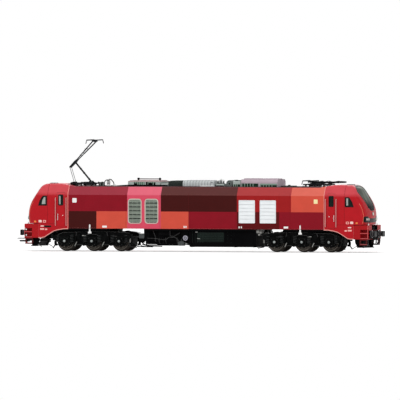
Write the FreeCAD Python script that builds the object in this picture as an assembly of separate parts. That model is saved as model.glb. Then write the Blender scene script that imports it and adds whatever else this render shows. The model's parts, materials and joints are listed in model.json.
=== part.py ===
"""H0 scale model of a six-axle electric locomotive with two pantographs.

Millimetres. X runs along the track, Y across it, Z up. The origin is midway between the
bogies, on the track's centre line, at the level of the wheel flanges' lowest points.
Every height below is given above the rail head, and up() lifts it by the flange depth.
Every end-of-vehicle size is given as a distance behind the buffer faces, see front().
The +X end is modelled, and the -X end is its mirror image except where said.
"""
import FreeCAD, Part
import math
import os

V = FreeCAD.Vector
os.makedirs("parts", exist_ok=True)

# ---------------------------------------------------------------- driving dimensions
over_buffers = 265.0        # length over the buffer faces
body_width = 33.0           # width over the body sides
flange_depth = 1.2          # rail head to the flange's lowest point
tread_diameter = 12.3
floor_clearance = 2.9       # wheel treads to the underside of the body

sole = tread_diameter + floor_clearance
eaves = 39.5                # top of the upright body side
roof = 45.2                 # flat roof of the machine room
roof_slope = 0.614          # how far the upper side leans in for each mm of height
cab_roof = 47.1             # top of the cab dome
wall = 1.2                  # thickness of the body casing
cab_wall = 1.0              # thickness of the cab shell

cab_seam = 36.9             # joint between the cab and the machine room
ramp_foot = 41.0            # where the roof starts to rise towards the cab
ramp_head = 31.0            # where it has reached the dome
nose_sill = 18.7            # lower edge of the nose, above the bumper
nose_foot = 5.6             # front of the nose at its lower edge
belt = (4.1, 29.6)          # where the planes of nose and windscreen meet: set back, height
screen_top = (13.4, 43.8)   # where the windscreen plane runs into the dome
belt_radius = 22.4          # rounding between those two planes
belt_steps = 4
plan_radius = 60.0          # the nose is bowed to this radius, seen from above
corner_radius = 4.5         # upright corners of the nose
dome_steps = 5              # rings that round the dome over the windscreen

bogie_pivot = 78.5          # bogie centre from the middle of the vehicle
axle_spacing = 20.4
back_to_back = 14.3
wheel_width = 2.9
axle_radius = 1.0
axle_reach = 12.1           # half length of an axle
end_play = 0.2              # of an axle, at each end
running = 0.05              # radial clearance of an axle or pin in its bore
frame_inner = 10.9          # inner face of the bogie side frames
frame_outer = 13.2          # their outer face
seat_gap = 0.3              # between pieces that move past each other

half = over_buffers / 2
side = body_width / 2
axle_height = tread_diameter / 2


def up(height):
    """Height above the floor of a height above the rail head."""
    return height + flange_depth


def front(distance):
    """X of a place that lies this far behind the +X buffer faces."""
    return half - distance


seam = front(cab_seam)


# ---------------------------------------------------------------- shape helpers
def box(x0, x1, y0, y1, z0, z1):
    return Part.makeBox(x1 - x0, y1 - y0, z1 - z0, V(x0, y0, z0))


def rod(start, end, radius):
    a = V(*start)
    b = V(*end)
    return Part.makeCylinder(radius, (b - a).Length, a, b - a)


def prism_xz(points, y0, y1):
    wire = Part.makePolygon([V(x, y0, z) for x, z in points + points[:1]])
    return Part.Face(wire).extrude(V(0, y1 - y0, 0))


def prism_yz(points, x0, x1):
    wire = Part.makePolygon([V(x0, y, z) for y, z in points + points[:1]])
    return Part.Face(wire).extrude(V(x1 - x0, 0, 0))


def prism_xy(points, z0, z1):
    wire = Part.makePolygon([V(x, y, z0) for x, y in points + points[:1]])
    return Part.Face(wire).extrude(V(0, 0, z1 - z0))


def fuse(shapes):
    whole = shapes[0]
    if len(shapes) > 1:
        whole = shapes[0].fuse(shapes[1:])
    return whole.removeSplitter()


def both_sides(shape):
    """The shape and its mirror image across the track's centre line."""
    return [shape, shape.mirror(V(0, 0, 0), V(0, 1, 0))]


def other_end(shape):
    return shape.mirror(V(0, 0, 0), V(1, 0, 0))


def group(shapes):
    """Solids that don't touch, kept apart in one node."""
    solids = [s for shape in shapes for s in shape.Solids]
    return Part.makeCompound(solids)


def both_ends(shape):
    """Like pieces at both ends of the vehicle, in one node."""
    return group([shape, other_end(shape)])


def rounded_plate(x0, x1, z0, z1, radius, y0, y1):
    plate = box(x0, x1, y0, y1, z0, z1)
    upright = [e for e in plate.Edges if abs(e.tangentAt(e.FirstParameter).y) > 0.9]
    return plate.makeFillet(radius, upright)


def bent_rod(points, radius, bend):
    """A round rod along straight runs, joined by tangent arcs of one bend radius."""
    corners = [V(*p) for p in points]
    edges = []
    start = corners[0]
    for before, corner, after in zip(corners, corners[1:], corners[2:]):
        into = (corner - before).normalize()
        out = (after - corner).normalize()
        turn = into.getAngle(out)
        back = bend * math.tan(turn / 2)
        first = corner - into * back
        last = corner + out * back
        inward = (out - into).normalize()
        middle = corner + inward * (bend / math.cos(turn / 2) - bend)
        edges.append(Part.LineSegment(start, first).toShape())
        edges.append(Part.Arc(first, middle, last).toShape())
        start = last
    edges.append(Part.LineSegment(start, corners[-1]).toShape())
    path = Part.Wire(edges)
    disc = Part.Wire(Part.makeCircle(radius, corners[0], corners[1] - corners[0]))
    return path.makePipeShell([disc], True, False)


def save(name, shape):
    shape.exportStep(f"parts/{name}.step")
    solids = shape.Solids
    print(f"{name:24s} {len(solids)} solids  valid {shape.isValid()}  {shape.Volume:10.1f} mm3")


def save_ends(name, shape):
    """A node at each end, the left one a mirror image."""
    save(f"{name}_right", shape)
    save(f"{name}_left", other_end(shape))


# ---------------------------------------------------------------- casing
def lean(height):
    """Half width of the body at a height, before any wall is taken off."""
    return side - max(0.0, height - eaves) * roof_slope


def cross_section(inset, low, high):
    """Points of the body's cross-section, inset by a wall."""
    slant = inset * math.hypot(1, roof_slope)
    kink = eaves - (slant - inset) / roof_slope
    wide = side - inset
    top = lean(high) - slant
    return [(-wide, up(low)), (wide, up(low)), (wide, up(kink)),
            (top, up(high)), (-top, up(high)), (-wide, up(kink))]


def roof_line(inset, low):
    """Side view of the casing from the middle to beyond the cab seam."""
    return [(-front(ramp_foot), up(roof - inset)), (front(ramp_foot), up(roof - inset)),
            (front(ramp_head), up(cab_roof - inset)), (half, up(cab_roof - inset)),
            (half, up(low)), (-half, up(low)), (-half, up(cab_roof - inset)),
            (-front(ramp_head), up(cab_roof - inset))]


def casing(inset, low, reach):
    body = prism_yz(cross_section(inset, low, cab_roof), -reach, reach)
    return body.common(prism_xz(roof_line(inset, low), -side, side))


def half_width(height, inset):
    """Half width of the casing at a height, less a wall."""
    slant = inset * math.hypot(1, roof_slope)
    return min(side - inset, side - (height - eaves) * roof_slope - slant)


def nose_rows():
    """The nose's centre line as (x, height, upward tilt of its face): foot, belt, screen, dome."""
    foot_x, belt_x, top_x = front(nose_foot), front(belt[0]), front(screen_top[0])
    low = -math.atan2(belt_x - foot_x, belt[1] - nose_sill)
    screen = math.atan2(belt_x - top_x, screen_top[1] - belt[1])
    share = belt_radius / (1 + math.cos(screen - low))
    centre_x = belt_x - share * (math.cos(low) + math.cos(screen))
    centre_z = belt[1] - share * (math.sin(low) + math.sin(screen))
    rows = [(foot_x, nose_sill, low)]
    for part in range(belt_steps + 1):
        tilt = low + (screen - low) * part / belt_steps
        rows.append((centre_x + belt_radius * math.cos(tilt),
                     centre_z + belt_radius * math.sin(tilt), tilt))
    rows.append((belt_x - (eaves - belt[1]) * math.tan(screen), eaves, screen))
    dome_radius = (cab_roof - screen_top[1]) / (1 - math.sin(screen))
    for part in range(dome_steps + 1):
        tilt = screen + (math.pi / 2 - screen) * part / dome_steps
        rows.append((top_x + dome_radius * (math.cos(tilt) - math.cos(screen)),
                     screen_top[1] + dome_radius * (math.sin(tilt) - math.sin(screen)), tilt))
    return rows


def plan_ring(x, height, inset):
    """Seen from above: straight sides, rounded corners and a bowed front."""
    wide = half_width(height, inset)
    bow = plan_radius - inset
    corner = corner_radius - inset
    hub = x - bow
    corner_x = hub + math.sqrt((bow - corner) ** 2 - (wide - corner) ** 2)
    angle = math.atan2(wide - corner, corner_x - hub)
    z = up(height)
    ends = []
    for sign in (-1, 1):
        middle = (angle + math.pi / 2) / 2
        ends.append([V(corner_x, sign * wide, z),
                     V(corner_x + corner * math.cos(middle),
                       sign * (wide - corner + corner * math.sin(middle)), z),
                     V(hub + bow * math.cos(angle), sign * bow * math.sin(angle), z)])
    near, far = ends
    back = [V(seam, -wide, z), V(seam, wide, z)]
    return Part.Wire([Part.LineSegment(back[0], near[0]).toShape(), Part.Arc(*near).toShape(),
                      Part.Arc(near[2], V(x, 0, z), far[2]).toShape(),
                      Part.Arc(far[2], far[1], far[0]).toShape(),
                      Part.LineSegment(far[0], back[1]).toShape(),
                      Part.LineSegment(back[1], back[0]).toShape()])


def nose_block(inset, below=0.0):
    """The cab's outer form, or its inside when inset by the wall."""
    rings = []
    for x, height, tilt in nose_rows():
        if not rings and below:
            rings.append(plan_ring(x - inset, height - below, inset))
        shift = inset * math.sin(tilt) if rings else 0.0
        rings.append(plan_ring(x - inset * math.cos(tilt), height - shift, inset))
    block = Part.makeLoft(rings, True, True)
    return block.common(prism_xz(roof_line(inset, nose_sill - below), -side, side))


# skirt below the cab side, as distance behind the buffers and height
skirt_line = [(36.9, 14.7), (34.1, 14.7), (29.4, 14.0), (26.3, 13.1), (22.4, 10.8),
              (19.2, 8.7), (16.9, 8.3), (14.75, 8.3)]
bumper_back = 14.75

windscreen = [(3.0, 28.6), (7.6, 30.8), (8.6, 33.9), (10.2, 39.3), (11.4, 42.1),
              (9.5, 45.0), (5.5, 46.9)]      # half outline seen from the front: y, height
door = (34.5, 28.6, 16.2, 40.8)               # cab door: back, front, bottom, top
door_window = (33.2, 29.6, 31.6, 39.3)
side_window = [(21.0, 31.5), (14.7, 31.5), (14.9, 32.4), (15.8, 35.0), (17.2, 37.3),
               (18.2, 38.4), (21.0, 38.4)]


def end_points(outline):
    return [(front(d), up(z)) for d, z in outline]


def cab_shell():
    outer = nose_block(0)
    skirt = end_points(skirt_line) + [(front(bumper_back), up(nose_sill)), (seam, up(nose_sill))]
    plates = both_sides(prism_xz(skirt, side - cab_wall, side))
    hollow = nose_block(cab_wall, 1.0)
    shell = outer.cut(hollow)
    return fuse([shell] + plates)


def cutter(rectangle):
    back, ahead, low, high = rectangle
    return box(front(back), front(ahead), -half, half, up(low), up(high))


shell = cab_shell()
screen_points = [(y, up(z)) for y, z in windscreen]
screen_points += [(-y, z) for y, z in reversed(screen_points)]
screen_cutter = prism_yz(screen_points, front(ramp_head), half)
door_cutter = cutter(door)
pane_cutter = cutter(door_window)
side_cutter = prism_xz(end_points(side_window), -half, half)

save_ends("cab_shell", shell.cut(screen_cutter.fuse([door_cutter, side_cutter])))
save_ends("windscreen", shell.common(screen_cutter))
save("cab_doors", both_ends(shell.common(door_cutter).cut(pane_cutter)))
save("cab_windows", both_ends(group([shell.common(pane_cutter), shell.common(side_cutter)])))

# machine room: openings for the grilles on both sides, along X and in height
oval_grilles = [(-50.9, -40.6), (-38.4, -28.1)]
oval_height = (18.8, 36.7)
oval_radius = 2.2
louvre_grilles = [(32.0, 44.1), (47.7, 59.8)]
louvre_height = (19.5, 36.0)
louvre_radius = 0.5

body = casing(0, sole, seam).cut(casing(wall, sole - wall, seam))
oval_cut = [rounded_plate(x0, x1, up(oval_height[0]), up(oval_height[1]), oval_radius, -side, side)
            for x0, x1 in oval_grilles]
louvre_cut = [rounded_plate(x0, x1, up(louvre_height[0]), up(louvre_height[1]), louvre_radius,
                            -side, side) for x0, x1 in louvre_grilles]
save("body_shell", body.cut(oval_cut[0].fuse(oval_cut[1:] + louvre_cut)))

grille_sink = 0.5           # the slatted field lies this far inside the frame
grille_frame = 0.9          # width of that frame


def grilles(spans, heights, radius):
    """Framed plates that fill the openings of both body sides."""
    plates = []
    for x0, x1 in spans:
        plate = rounded_plate(x0, x1, up(heights[0]), up(heights[1]), radius, side - wall, side)
        field = rounded_plate(x0 + grille_frame, x1 - grille_frame, up(heights[0]) + grille_frame,
                              up(heights[1]) - grille_frame, max(radius - grille_frame, 0.2),
                              side - grille_sink, side)
        plates += both_sides(plate.cut(field))
    return group(plates)


save("oval_grilles", grilles(oval_grilles, oval_height, oval_radius))
save("louvre_grilles", grilles(louvre_grilles, louvre_height, louvre_radius))

# ---------------------------------------------------------------- chassis
sill_drop = 1.3             # dark strip below the body side
sill_inset = 0.2
floor_thick = 2.0
floor_half = side - wall - 0.1
block_half_length = 70.0    # weight and motor inside the casing
block_half_width = 12.0
block_top = 38.0
pivot_radius = 2.5
pivot_foot = axle_height + 4.25 # lower end of the bogie pivot pins
sill_bite = 0.2             # the sills grip the floor's edges by this much
# the sills are left out over the bogies' inner ends
sill_spans = [(-seam, -64.5), (-38.4, 44.4), (65.0, seam)]


def chassis():
    end = front(bumper_back)
    plate = box(-end, end, -floor_half, floor_half, up(sole), up(sole + floor_thick))
    block = box(-block_half_length, block_half_length, -block_half_width, block_half_width,
                up(sole + floor_thick), up(block_top))
    sills = []
    for x0, x1 in sill_spans:
        sills += both_sides(box(x0, x1, floor_half - sill_bite, side - sill_inset,
                                up(sole - sill_drop), up(sole)))
    pins = [rod((x, 0, up(pivot_foot)), (x, 0, up(sole + 1)), pivot_radius)
            for x in (-bogie_pivot, bogie_pivot)]
    return fuse([plate, block] + sills + pins)


save("chassis", chassis())

# ---------------------------------------------------------------- front end
bumper_front = 3.9          # front face of the bumper
bumper_low = 8.3
bumper_top = 18.4
bumper_half = side - 0.3
corner_post = 0.5
bumper_rounding = 1.2
bumper_wall = 1.2
mouth_rim = 1.0             # the wells' front openings stop this far from their sides
step_back = 9.8             # the step openings run forward from here
step_depth = 4.4            # into the bumper from the side
step_openings = [(9.0, 12.3), (13.1, 15.3)]
hook_half_width = 7.0       # recess for the coupling in the middle of the beam
hook_height = (14.9, 18.4)
hook_depth = 4.0
lower_step = (10.3, 4.8, 4.0)   # hanging step: back, front, bottom
lower_step_width = 3.6
step_tread = 0.8
step_cheek = 0.7


def bumper():
    """Full-width bumper with its step wells, and a hanging step at each corner."""
    face = front(bumper_front)
    block = box(front(bumper_back), face, -bumper_half, bumper_half, up(bumper_low), up(bumper_top))
    upright = [e for e in block.Edges
               if abs(e.tangentAt(e.FirstParameter).z) > 0.9 and e.CenterOfMass.x > face - 1]
    block = block.makeFillet(bumper_rounding, upright)
    wells = []
    for low, high in step_openings:
        well = box(front(step_back), face - corner_post, bumper_half - step_depth, side,
                   up(low), up(high))
        mouth = box(front(step_back), face + 1, bumper_half - step_depth + mouth_rim,
                    bumper_half - mouth_rim, up(low), up(high))
        wells += both_sides(well) + both_sides(mouth)
    wells.append(box(face - hook_depth, face + 1, -hook_half_width, hook_half_width,
                     up(hook_height[0]), up(hook_height[1]) + 1))
    inside = bumper_half - step_depth - bumper_wall
    wells.append(box(front(bumper_back - bumper_wall), face - hook_depth - bumper_wall,
                     -inside, inside, up(bumper_low) - 1, up(bumper_top - bumper_wall)))
    block = block.cut(fuse(wells))
    back, ahead, low = lower_step
    outside = bumper_half - 0.1
    hanger = box(front(back), front(ahead), outside - lower_step_width, outside,
                 up(low), up(bumper_low))
    hollow = box(front(back - step_cheek), front(ahead + step_cheek),
                 outside - lower_step_width + step_cheek, outside + 1,
                 up(low + step_tread), up(bumper_low - step_tread))
    steps = both_sides(hanger.cut(hollow))
    return fuse([block] + steps)


save_ends("bumper", bumper())

buffer_y = 10.06
buffer_height = 12.1
head_width = 5.3
head_height = 4.1
head_thick = 0.9
head_rounding = 0.9
stem_radius = 1.25
sleeve_radius = 1.75
sleeve_reach = 2.2          # the sleeve ends this far in front of the bumper
base_size = 4.6
base_thick = 0.5


def buffers():
    face = front(bumper_front)
    centre = up(buffer_height)
    plate = rounded_plate(-head_width / 2, head_width / 2, -head_height / 2, head_height / 2,
                          head_rounding, 0, head_thick)
    plate.rotate(V(0, 0, 0), V(0, 0, 1), -90)
    plate.translate(V(half - head_thick, buffer_y, centre))
    base = box(face, face + base_thick, buffer_y - base_size / 2, buffer_y + base_size / 2,
               centre - base_size / 2, centre + base_size / 2)
    sleeve = rod((face, buffer_y, centre), (face + sleeve_reach, buffer_y, centre), sleeve_radius)
    stem = rod((face, buffer_y, centre), (half - head_thick / 2, buffer_y, centre), stem_radius)
    return group(both_sides(fuse([plate, base, sleeve, stem])))


save("buffers", both_ends(buffers()))

# snow plough: a shallow V seen from above, leaning forward at its foot
plough_top = 7.6
plough_foot = 2.3
plough_half = 13.0
plough_tip = 7.4            # tip of the V, behind the buffers
plough_sweep = 3.7          # how far the wings lie behind the tip
plough_lean = 2.2           # the foot is this far ahead of the top edge
plough_thick = 0.8
cheek_back = 14.3           # side cheeks hang from the bumper
notch_half = 3.6            # way for the coupling's shank
notch_foot = 4.4


def blade(y_sign, top):
    def corner(lean_share, y, back):
        x = front(plough_tip) - plough_sweep * y / plough_half
        return x - plough_lean * lean_share - back
    rings = []
    for share, height in ((0.0, plough_foot), (1.0, top)):
        points = [(corner(share, 0, 0), 0), (corner(share, plough_half, 0), plough_half),
                  (corner(share, plough_half, plough_thick), plough_half),
                  (corner(share, 0, plough_thick), 0)]
        ring = [V(x, y * y_sign, up(height)) for x, y in points]
        rings.append(Part.makePolygon(ring + ring[:1]))
    return Part.makeLoft(rings, True, True)


def plough(notched):
    halves = [blade(1, plough_top), blade(-1, plough_top)]
    back = front(cheek_back)
    wing = front(plough_tip + plough_sweep)
    cheek = prism_xz([(back, up(bumper_low)), (wing + 0.6, up(bumper_low)),
                      (wing - plough_lean - 0.2, up(plough_top)), (wing - 0.3, up(plough_foot + 0.6)),
                      (wing - 1.2, up(plough_foot)), (wing - 2.0, up(plough_foot))],
                     plough_half - plough_thick, plough_half)
    whole = fuse(halves + both_sides(cheek))
    if notched:
        gap = box(front(cheek_back), half, -notch_half, notch_half, up(notch_foot), up(bumper_low))
        whole = whole.cut(gap)
    return whole


save("plough_right", plough(False))
save("plough_left", other_end(plough(True)))

# close coupling at the -X end: a swinging shank with a bail and a hook
coupler_pivot = (17.6, 6.6)     # behind the buffers, height
coupler_reach = 4.9             # ahead of the buffers
pocket_half = 1.6
shank_thick = 1.3
coupler_pin = 0.8           # radius
pin_foot = 0.9              # the pin and its washer end this far below the shank
washer_radius = 1.5
bracket = (2.2, 3.0)        # half length and half width
head_half = 3.6             # half width of the coupling's head
bail_bar = 0.7
bail_height = (0.9, 1.4)    # above the pivot
hook_outline = [(-2.6, 2.6), (1.6, 2.6), (4.1, 0.9)]    # ahead of the buffers, half width


def coupler():
    back, level = coupler_pivot
    x0 = front(back)
    tip = half + coupler_reach
    low = up(level) - shank_thick / 2
    high = up(level) + shank_thick / 2
    eye = Part.makeCylinder(pocket_half, shank_thick, V(x0, 0, low))
    bore = Part.makeCylinder(coupler_pin + running, shank_thick + 2, V(x0, 0, low - 1))
    shank = box(x0, half - pocket_half, -pocket_half, pocket_half, low, high)
    near = [(half + x, y) for x, y in hook_outline]
    hook = prism_xy(near + [(x, -y) for x, y in reversed(near)], low - 0.6, low + 0.5)
    bail_low, bail_high = bail_height
    posts = box(half - 2.0, half - 1.0, -head_half, head_half, low, up(level) + bail_low + 0.2)
    bail = box(half - 2.0, tip, -head_half, head_half, up(level) + bail_low, up(level) + bail_high)
    bail = bail.cut(box(half - 1.2, tip - bail_bar, -head_half + bail_bar, head_half - bail_bar,
                        up(level), up(level) + 2))
    return fuse([eye, shank, hook, posts, bail]).cut(bore)


def coupler_mount():
    """Pin and bracket under the floor that carry the coupling."""
    back, level = coupler_pivot
    x0 = front(back)
    long, wide = bracket
    under = up(level) - shank_thick / 2
    pin = rod((x0, 0, under - pin_foot), (x0, 0, up(bumper_low + 1)), coupler_pin)
    washer = rod((x0, 0, under - pin_foot), (x0, 0, under - seat_gap), washer_radius)
    stalk = box(x0 - long, x0 + long, -wide, wide, up(level) + shank_thick / 2 + seat_gap, up(sole))
    return fuse([pin, washer, stalk])


save("coupler", other_end(coupler()))
save("coupler_mount", other_end(coupler_mount()))

# ---------------------------------------------------------------- bogies
# heights in this section are above the axles' centres
bogie_reach = axle_spacing + tread_diameter / 2 + flange_depth + 1.75   # half length of a frame
bolster_half = 5.0
beam_half = 1.6             # cross beams between the wheels
beam_low = 3.15
beam_high = 6.55
end_beam = 0.9              # centre of the end beams, in from the frame's ends
end_beam_half = 0.8
end_beam_height = (2.45, 3.45)
hub_low = axle_radius + 1.0
hub_seat = 1.2              # the spine starts this far above the hub's foot
axle_xs = (-axle_spacing, 0.0, axle_spacing)
frame_outline = [(-bogie_reach, 4.75), (-26.0, 5.75), (-21.5, 6.75), (-10.2, 6.85), (-8.0, 7.35),
                 (8.0, 7.35), (10.2, 6.85), (21.5, 6.45), (26.5, 4.45), (bogie_reach, 3.45),
                 (bogie_reach, 1.65), (25.8, -0.95), (15.6, -1.55), (13.6, -0.15), (6.6, -0.15),
                 (4.6, -1.55), (-4.6, -1.55), (-6.6, -0.15), (-13.6, -0.15), (-15.6, -1.55),
                 (-25.8, -0.95), (-bogie_reach, 2.25)]
box_outer = 14.5            # axle boxes stand out to here
box_half = 3.1
box_height = (-3.3, 2.9)
cap_radius = 1.9
cap_outer = 15.4
spring_radius = 1.3
spring_offset = 5.2         # springs stand each side of an axle box
spring_height = (-0.8, 4.6)
cap_bevel = 0.35
pipe_radius = 0.35
rim_depth = 1.3
hub_radius = 2.1
web_sink = 0.8              # the wheel's web lies this far inside its rim
# sand pipe's run: along X from the bogie centre, inwards, height above the rail
sand_run = [(-27.8, 0.0, 10.0), (-27.8, 0.0, 2.6), (-33.2, 0.8, 1.7)]


def above_axle(height):
    return up(axle_height + height)


def side_frame():
    """One bogie side, with axle boxes, springs and a blind bore for each axle."""
    plate = prism_xz([(x, above_axle(z)) for x, z in frame_outline], frame_inner, frame_outer)
    pieces = [plate]
    low, high = spring_height
    for x in axle_xs:
        pieces.append(box(x - box_half, x + box_half, frame_outer, box_outer,
                          above_axle(box_height[0]), above_axle(box_height[1])))
        for offset in (-spring_offset, spring_offset):
            pieces.append(rod((x + offset, frame_outer, above_axle(low)),
                              (x + offset, frame_outer, above_axle(high)), spring_radius))
    whole = fuse(pieces)
    bores = [rod((x, frame_inner - 1, above_axle(0)), (x, axle_reach + end_play, above_axle(0)),
                 axle_radius + running) for x in axle_xs]
    return whole.cut(fuse(bores))


def bogie_frame():
    """Two sides joined by cross beams between the wheels, with the pivot's bore."""
    sides = both_sides(side_frame())
    beams = []
    for x in (-axle_spacing / 2, axle_spacing / 2):
        beams.append(box(x - beam_half, x + beam_half, -frame_inner, frame_inner,
                         above_axle(beam_low), above_axle(beam_high)))
    low, high = end_beam_height
    for x in (-bogie_reach + end_beam, bogie_reach - end_beam):
        beams.append(box(x - end_beam_half, x + end_beam_half, -frame_inner, frame_inner,
                         above_axle(low), above_axle(high)))
    spine = box(-axle_spacing / 2, axle_spacing / 2, -bolster_half, bolster_half,
                above_axle(hub_low + hub_seat), above_axle(beam_high))
    whole = fuse(sides + beams + [spine])
    bore = rod((0, 0, above_axle(hub_low)), (0, 0, above_axle(beam_high + 1)),
               pivot_radius + running)
    return whole.cut(bore)


def axle_caps():
    caps = []
    for x in axle_xs:
        cap = rod((x, box_outer, above_axle(0)), (x, cap_outer, above_axle(0)), cap_radius)
        rim = [e for e in cap.Edges if e.CenterOfMass.y > cap_outer - 0.01]
        caps += both_sides(cap.makeChamfer(cap_bevel, rim))
    return group(caps)


def wheelset():
    """Axle and two flanged wheels, turned as one."""
    inner = -back_to_back / 2
    outer = inner - wheel_width
    tread = tread_diameter / 2
    flange = tread + flange_depth
    rim = tread - rim_depth
    dish = rim - 0.3
    wheel = [(axle_radius, outer + 0.5), (hub_radius, outer + 0.5), (hub_radius + 0.3, outer + web_sink),
             (dish, outer + web_sink), (rim, outer), (tread, outer), (tread + 0.05, inner - 0.75),
             (flange - 0.3, inner - 0.55), (flange, inner - 0.35), (flange - 0.2, inner),
             (rim, inner), (dish, inner - web_sink), (hub_radius + 0.3, inner - web_sink),
             (hub_radius, inner), (axle_radius, inner)]
    profile = [(0, -axle_reach), (axle_radius, -axle_reach)] + wheel
    profile += [(r, -y) for r, y in reversed(profile)]
    wire = Part.makePolygon([V(r, y, 0) for r, y in profile + profile[:1]])
    shape = Part.Face(wire).revolve(V(0, 0, 0), V(0, 1, 0), 360)
    shape.translate(V(0, 0, above_axle(0)))
    return shape


def sand_pipes():
    """Thin pipes from the frame's inner end down to the rails."""
    outside = frame_outer + pipe_radius
    route = [(x, outside - inward, up(height)) for x, inward, height in sand_run]
    return group(both_sides(bent_rod(route, pipe_radius, 1.5)))


def placed(shape, x):
    copy = shape.copy()
    copy.translate(V(x, 0, 0))
    return copy


save("bogie_frame_right", placed(bogie_frame(), bogie_pivot))
save("bogie_frame_left", other_end(placed(bogie_frame(), bogie_pivot)))
save("axle_caps_right", placed(axle_caps(), bogie_pivot))
save("axle_caps_left", other_end(placed(axle_caps(), bogie_pivot)))
save("sand_pipes_right", placed(sand_pipes(), bogie_pivot))
save("sand_pipes_left", other_end(placed(sand_pipes(), bogie_pivot)))
number = 1
for pivot in (-bogie_pivot, bogie_pivot):
    for x in axle_xs:
        save(f"wheelset_{number}", placed(wheelset(), pivot + x))
        number += 1

# ---------------------------------------------------------------- under the floor
tank = (-6.0, 44.4, 2.3)        # from, to, bottom
tank_half = 14.6
tank_bevel = 2.6
locker = (-39.8, -12.4)         # battery and air equipment
rack_low = 9.0
rack_half = 12.6
vessel = (10.2, 7.2, 2.7)       # air vessels: Y, height, radius
vessel_lengths = [(1.0, 13.2), (14.4, 26.8)]
air_pipe_levels = (3.5, 4.4)
air_pipe_y = 12.8
air_pipe_radius = 0.35
grey_box = (-11.6, -6.4, 6.6)


def underfloor(x0, x1, low, bevel, half_width):
    return prism_yz([(-half_width + bevel, up(low)), (half_width - bevel, up(low)),
                     (half_width, up(low + bevel)), (half_width, up(sole)),
                     (-half_width, up(sole)), (-half_width, up(low + bevel))], x0, x1)


save("fuel_tank", underfloor(*tank, tank_bevel, tank_half))


def air_equipment():
    x0, x1 = locker
    pieces = [underfloor(x0, x1, rack_low, 0.5, rack_half)]
    y, level, radius = vessel
    for start, end in vessel_lengths:
        pieces += both_sides(rod((x0 + start, y, up(level)), (x0 + end, y, up(level)), radius))
    top = up(rack_low + 0.4)
    for low in air_pipe_levels:
        route = [(x0 + 1.5, air_pipe_y, top), (x0 + 1.5, air_pipe_y, up(low)),
                 (x1 - 1.0, air_pipe_y, up(low)), (x1 - 1.0, air_pipe_y, top)]
        pieces += both_sides(bent_rod(route, air_pipe_radius, 1.2))
    return fuse(pieces)


save("air_equipment", air_equipment())
x0, x1, low = grey_box
save("grey_box", box(x0, x1, -tank_half, tank_half, up(low), up(sole)))

# ---------------------------------------------------------------- roof equipment
# boxes on the machine room roof: node, from, to, half width, top, bevel
roof_boxes = [
    ("brake_resistor", -52.5, -28.6, 10.6, 49.3, 0.7),
    ("louvred_box", -22.3, -11.9, 10.6, 49.3, 0.5),
    ("ribbed_fairing", -11.6, 11.4, 10.8, 49.7, 1.4),
    ("silencer_housing", 25.8, 31.3, 10.0, 49.5, 0.6),
    ("radiator", 31.7, 58.9, 10.2, 50.8, 1.6),
]
# low covers that share a node: from, to, half width, top, bevel
roof_covers = [(-76.2, -73.6, 1.8, 48.1, 0.4), (-28.2, -22.7, 10.0, 47.4, 0.5),
               (12.2, 18.4, 8.0, 47.4, 0.4), (60.2, 68.6, 6.0, 46.2, 0.3)]


def roof_box(x0, x1, wide, top, bevel):
    outline = [(-wide, up(roof)), (wide, up(roof)), (wide, up(top - bevel)), (wide - bevel, up(top)),
               (-wide + bevel, up(top)), (-wide, up(top - bevel))]
    return prism_yz(outline, x0, x1)


for name, *sizes in roof_boxes:
    save(name, roof_box(*sizes))
save("roof_covers", group([roof_box(*sizes) for sizes in roof_covers]))

drum_x = 22.9
drum_half = 9.4
drum_radius = 2.3
drum_lift = 0.2             # the drum clears the roof by this much
saddle = (1.3, 0.8)         # half length and width of its two feet
saddle_y = 6.0


def exhaust_drum():
    """Drum across the roof on two feet."""
    centre = up(roof + drum_lift + drum_radius)
    pieces = [rod((drum_x, -drum_half, centre), (drum_x, drum_half, centre), drum_radius)]
    long, wide = saddle
    foot = box(drum_x - long, drum_x + long, saddle_y, saddle_y + wide, up(roof), centre)
    return fuse(pieces + both_sides(foot))


save("exhaust_drum", exhaust_drum())

busbar_height = 50.6
busbar_posts = (-47.9, -31.9)
busbar_over = 0.9           # the bar runs on past its posts
busbar_radius = 0.35
post_radius = 0.8
lead_in = (-69.4, -3.0)     # roof insulator of the cable: X, Y
lead_top = 49.6
lead_radius = 1.4
save("busbar", rod((busbar_posts[0] - busbar_over, 0, up(busbar_height)),
                   (busbar_posts[1] + busbar_over, 0, up(busbar_height)), busbar_radius))


shed_pitch = 0.9
core_share = 0.62           # radius of an insulator's core over that of its sheds


def insulator(x, y, low, high, radius):
    """Stacked sheds round a core, turned as one."""
    sheds = max(2, int((high - low) / shed_pitch))
    pitch = (high - low) / sheds
    core = radius * core_share
    profile = [(0, low)]
    for number in range(sheds):
        level = low + number * pitch
        profile += [(core, level), (core, level + pitch * 0.35),
                    (radius, level + pitch * 0.6), (core, level + pitch * 0.95)]
    profile += [(core, high), (0, high)]
    wire = Part.makePolygon([V(r, 0, up(z)) for r, z in profile + profile[:1]])
    shape = Part.Face(wire).revolve(V(0, 0, 0), V(0, 0, 1), 360)
    shape.translate(V(x, y, 0))
    return shape


resistor_top = roof_boxes[0][4]
bar_foot = busbar_height - busbar_radius
posts = [insulator(x, 0, resistor_top, bar_foot, post_radius) for x in busbar_posts]
save("busbar_insulators", group(posts + [insulator(*lead_in, roof, lead_top, lead_radius)]))

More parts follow.
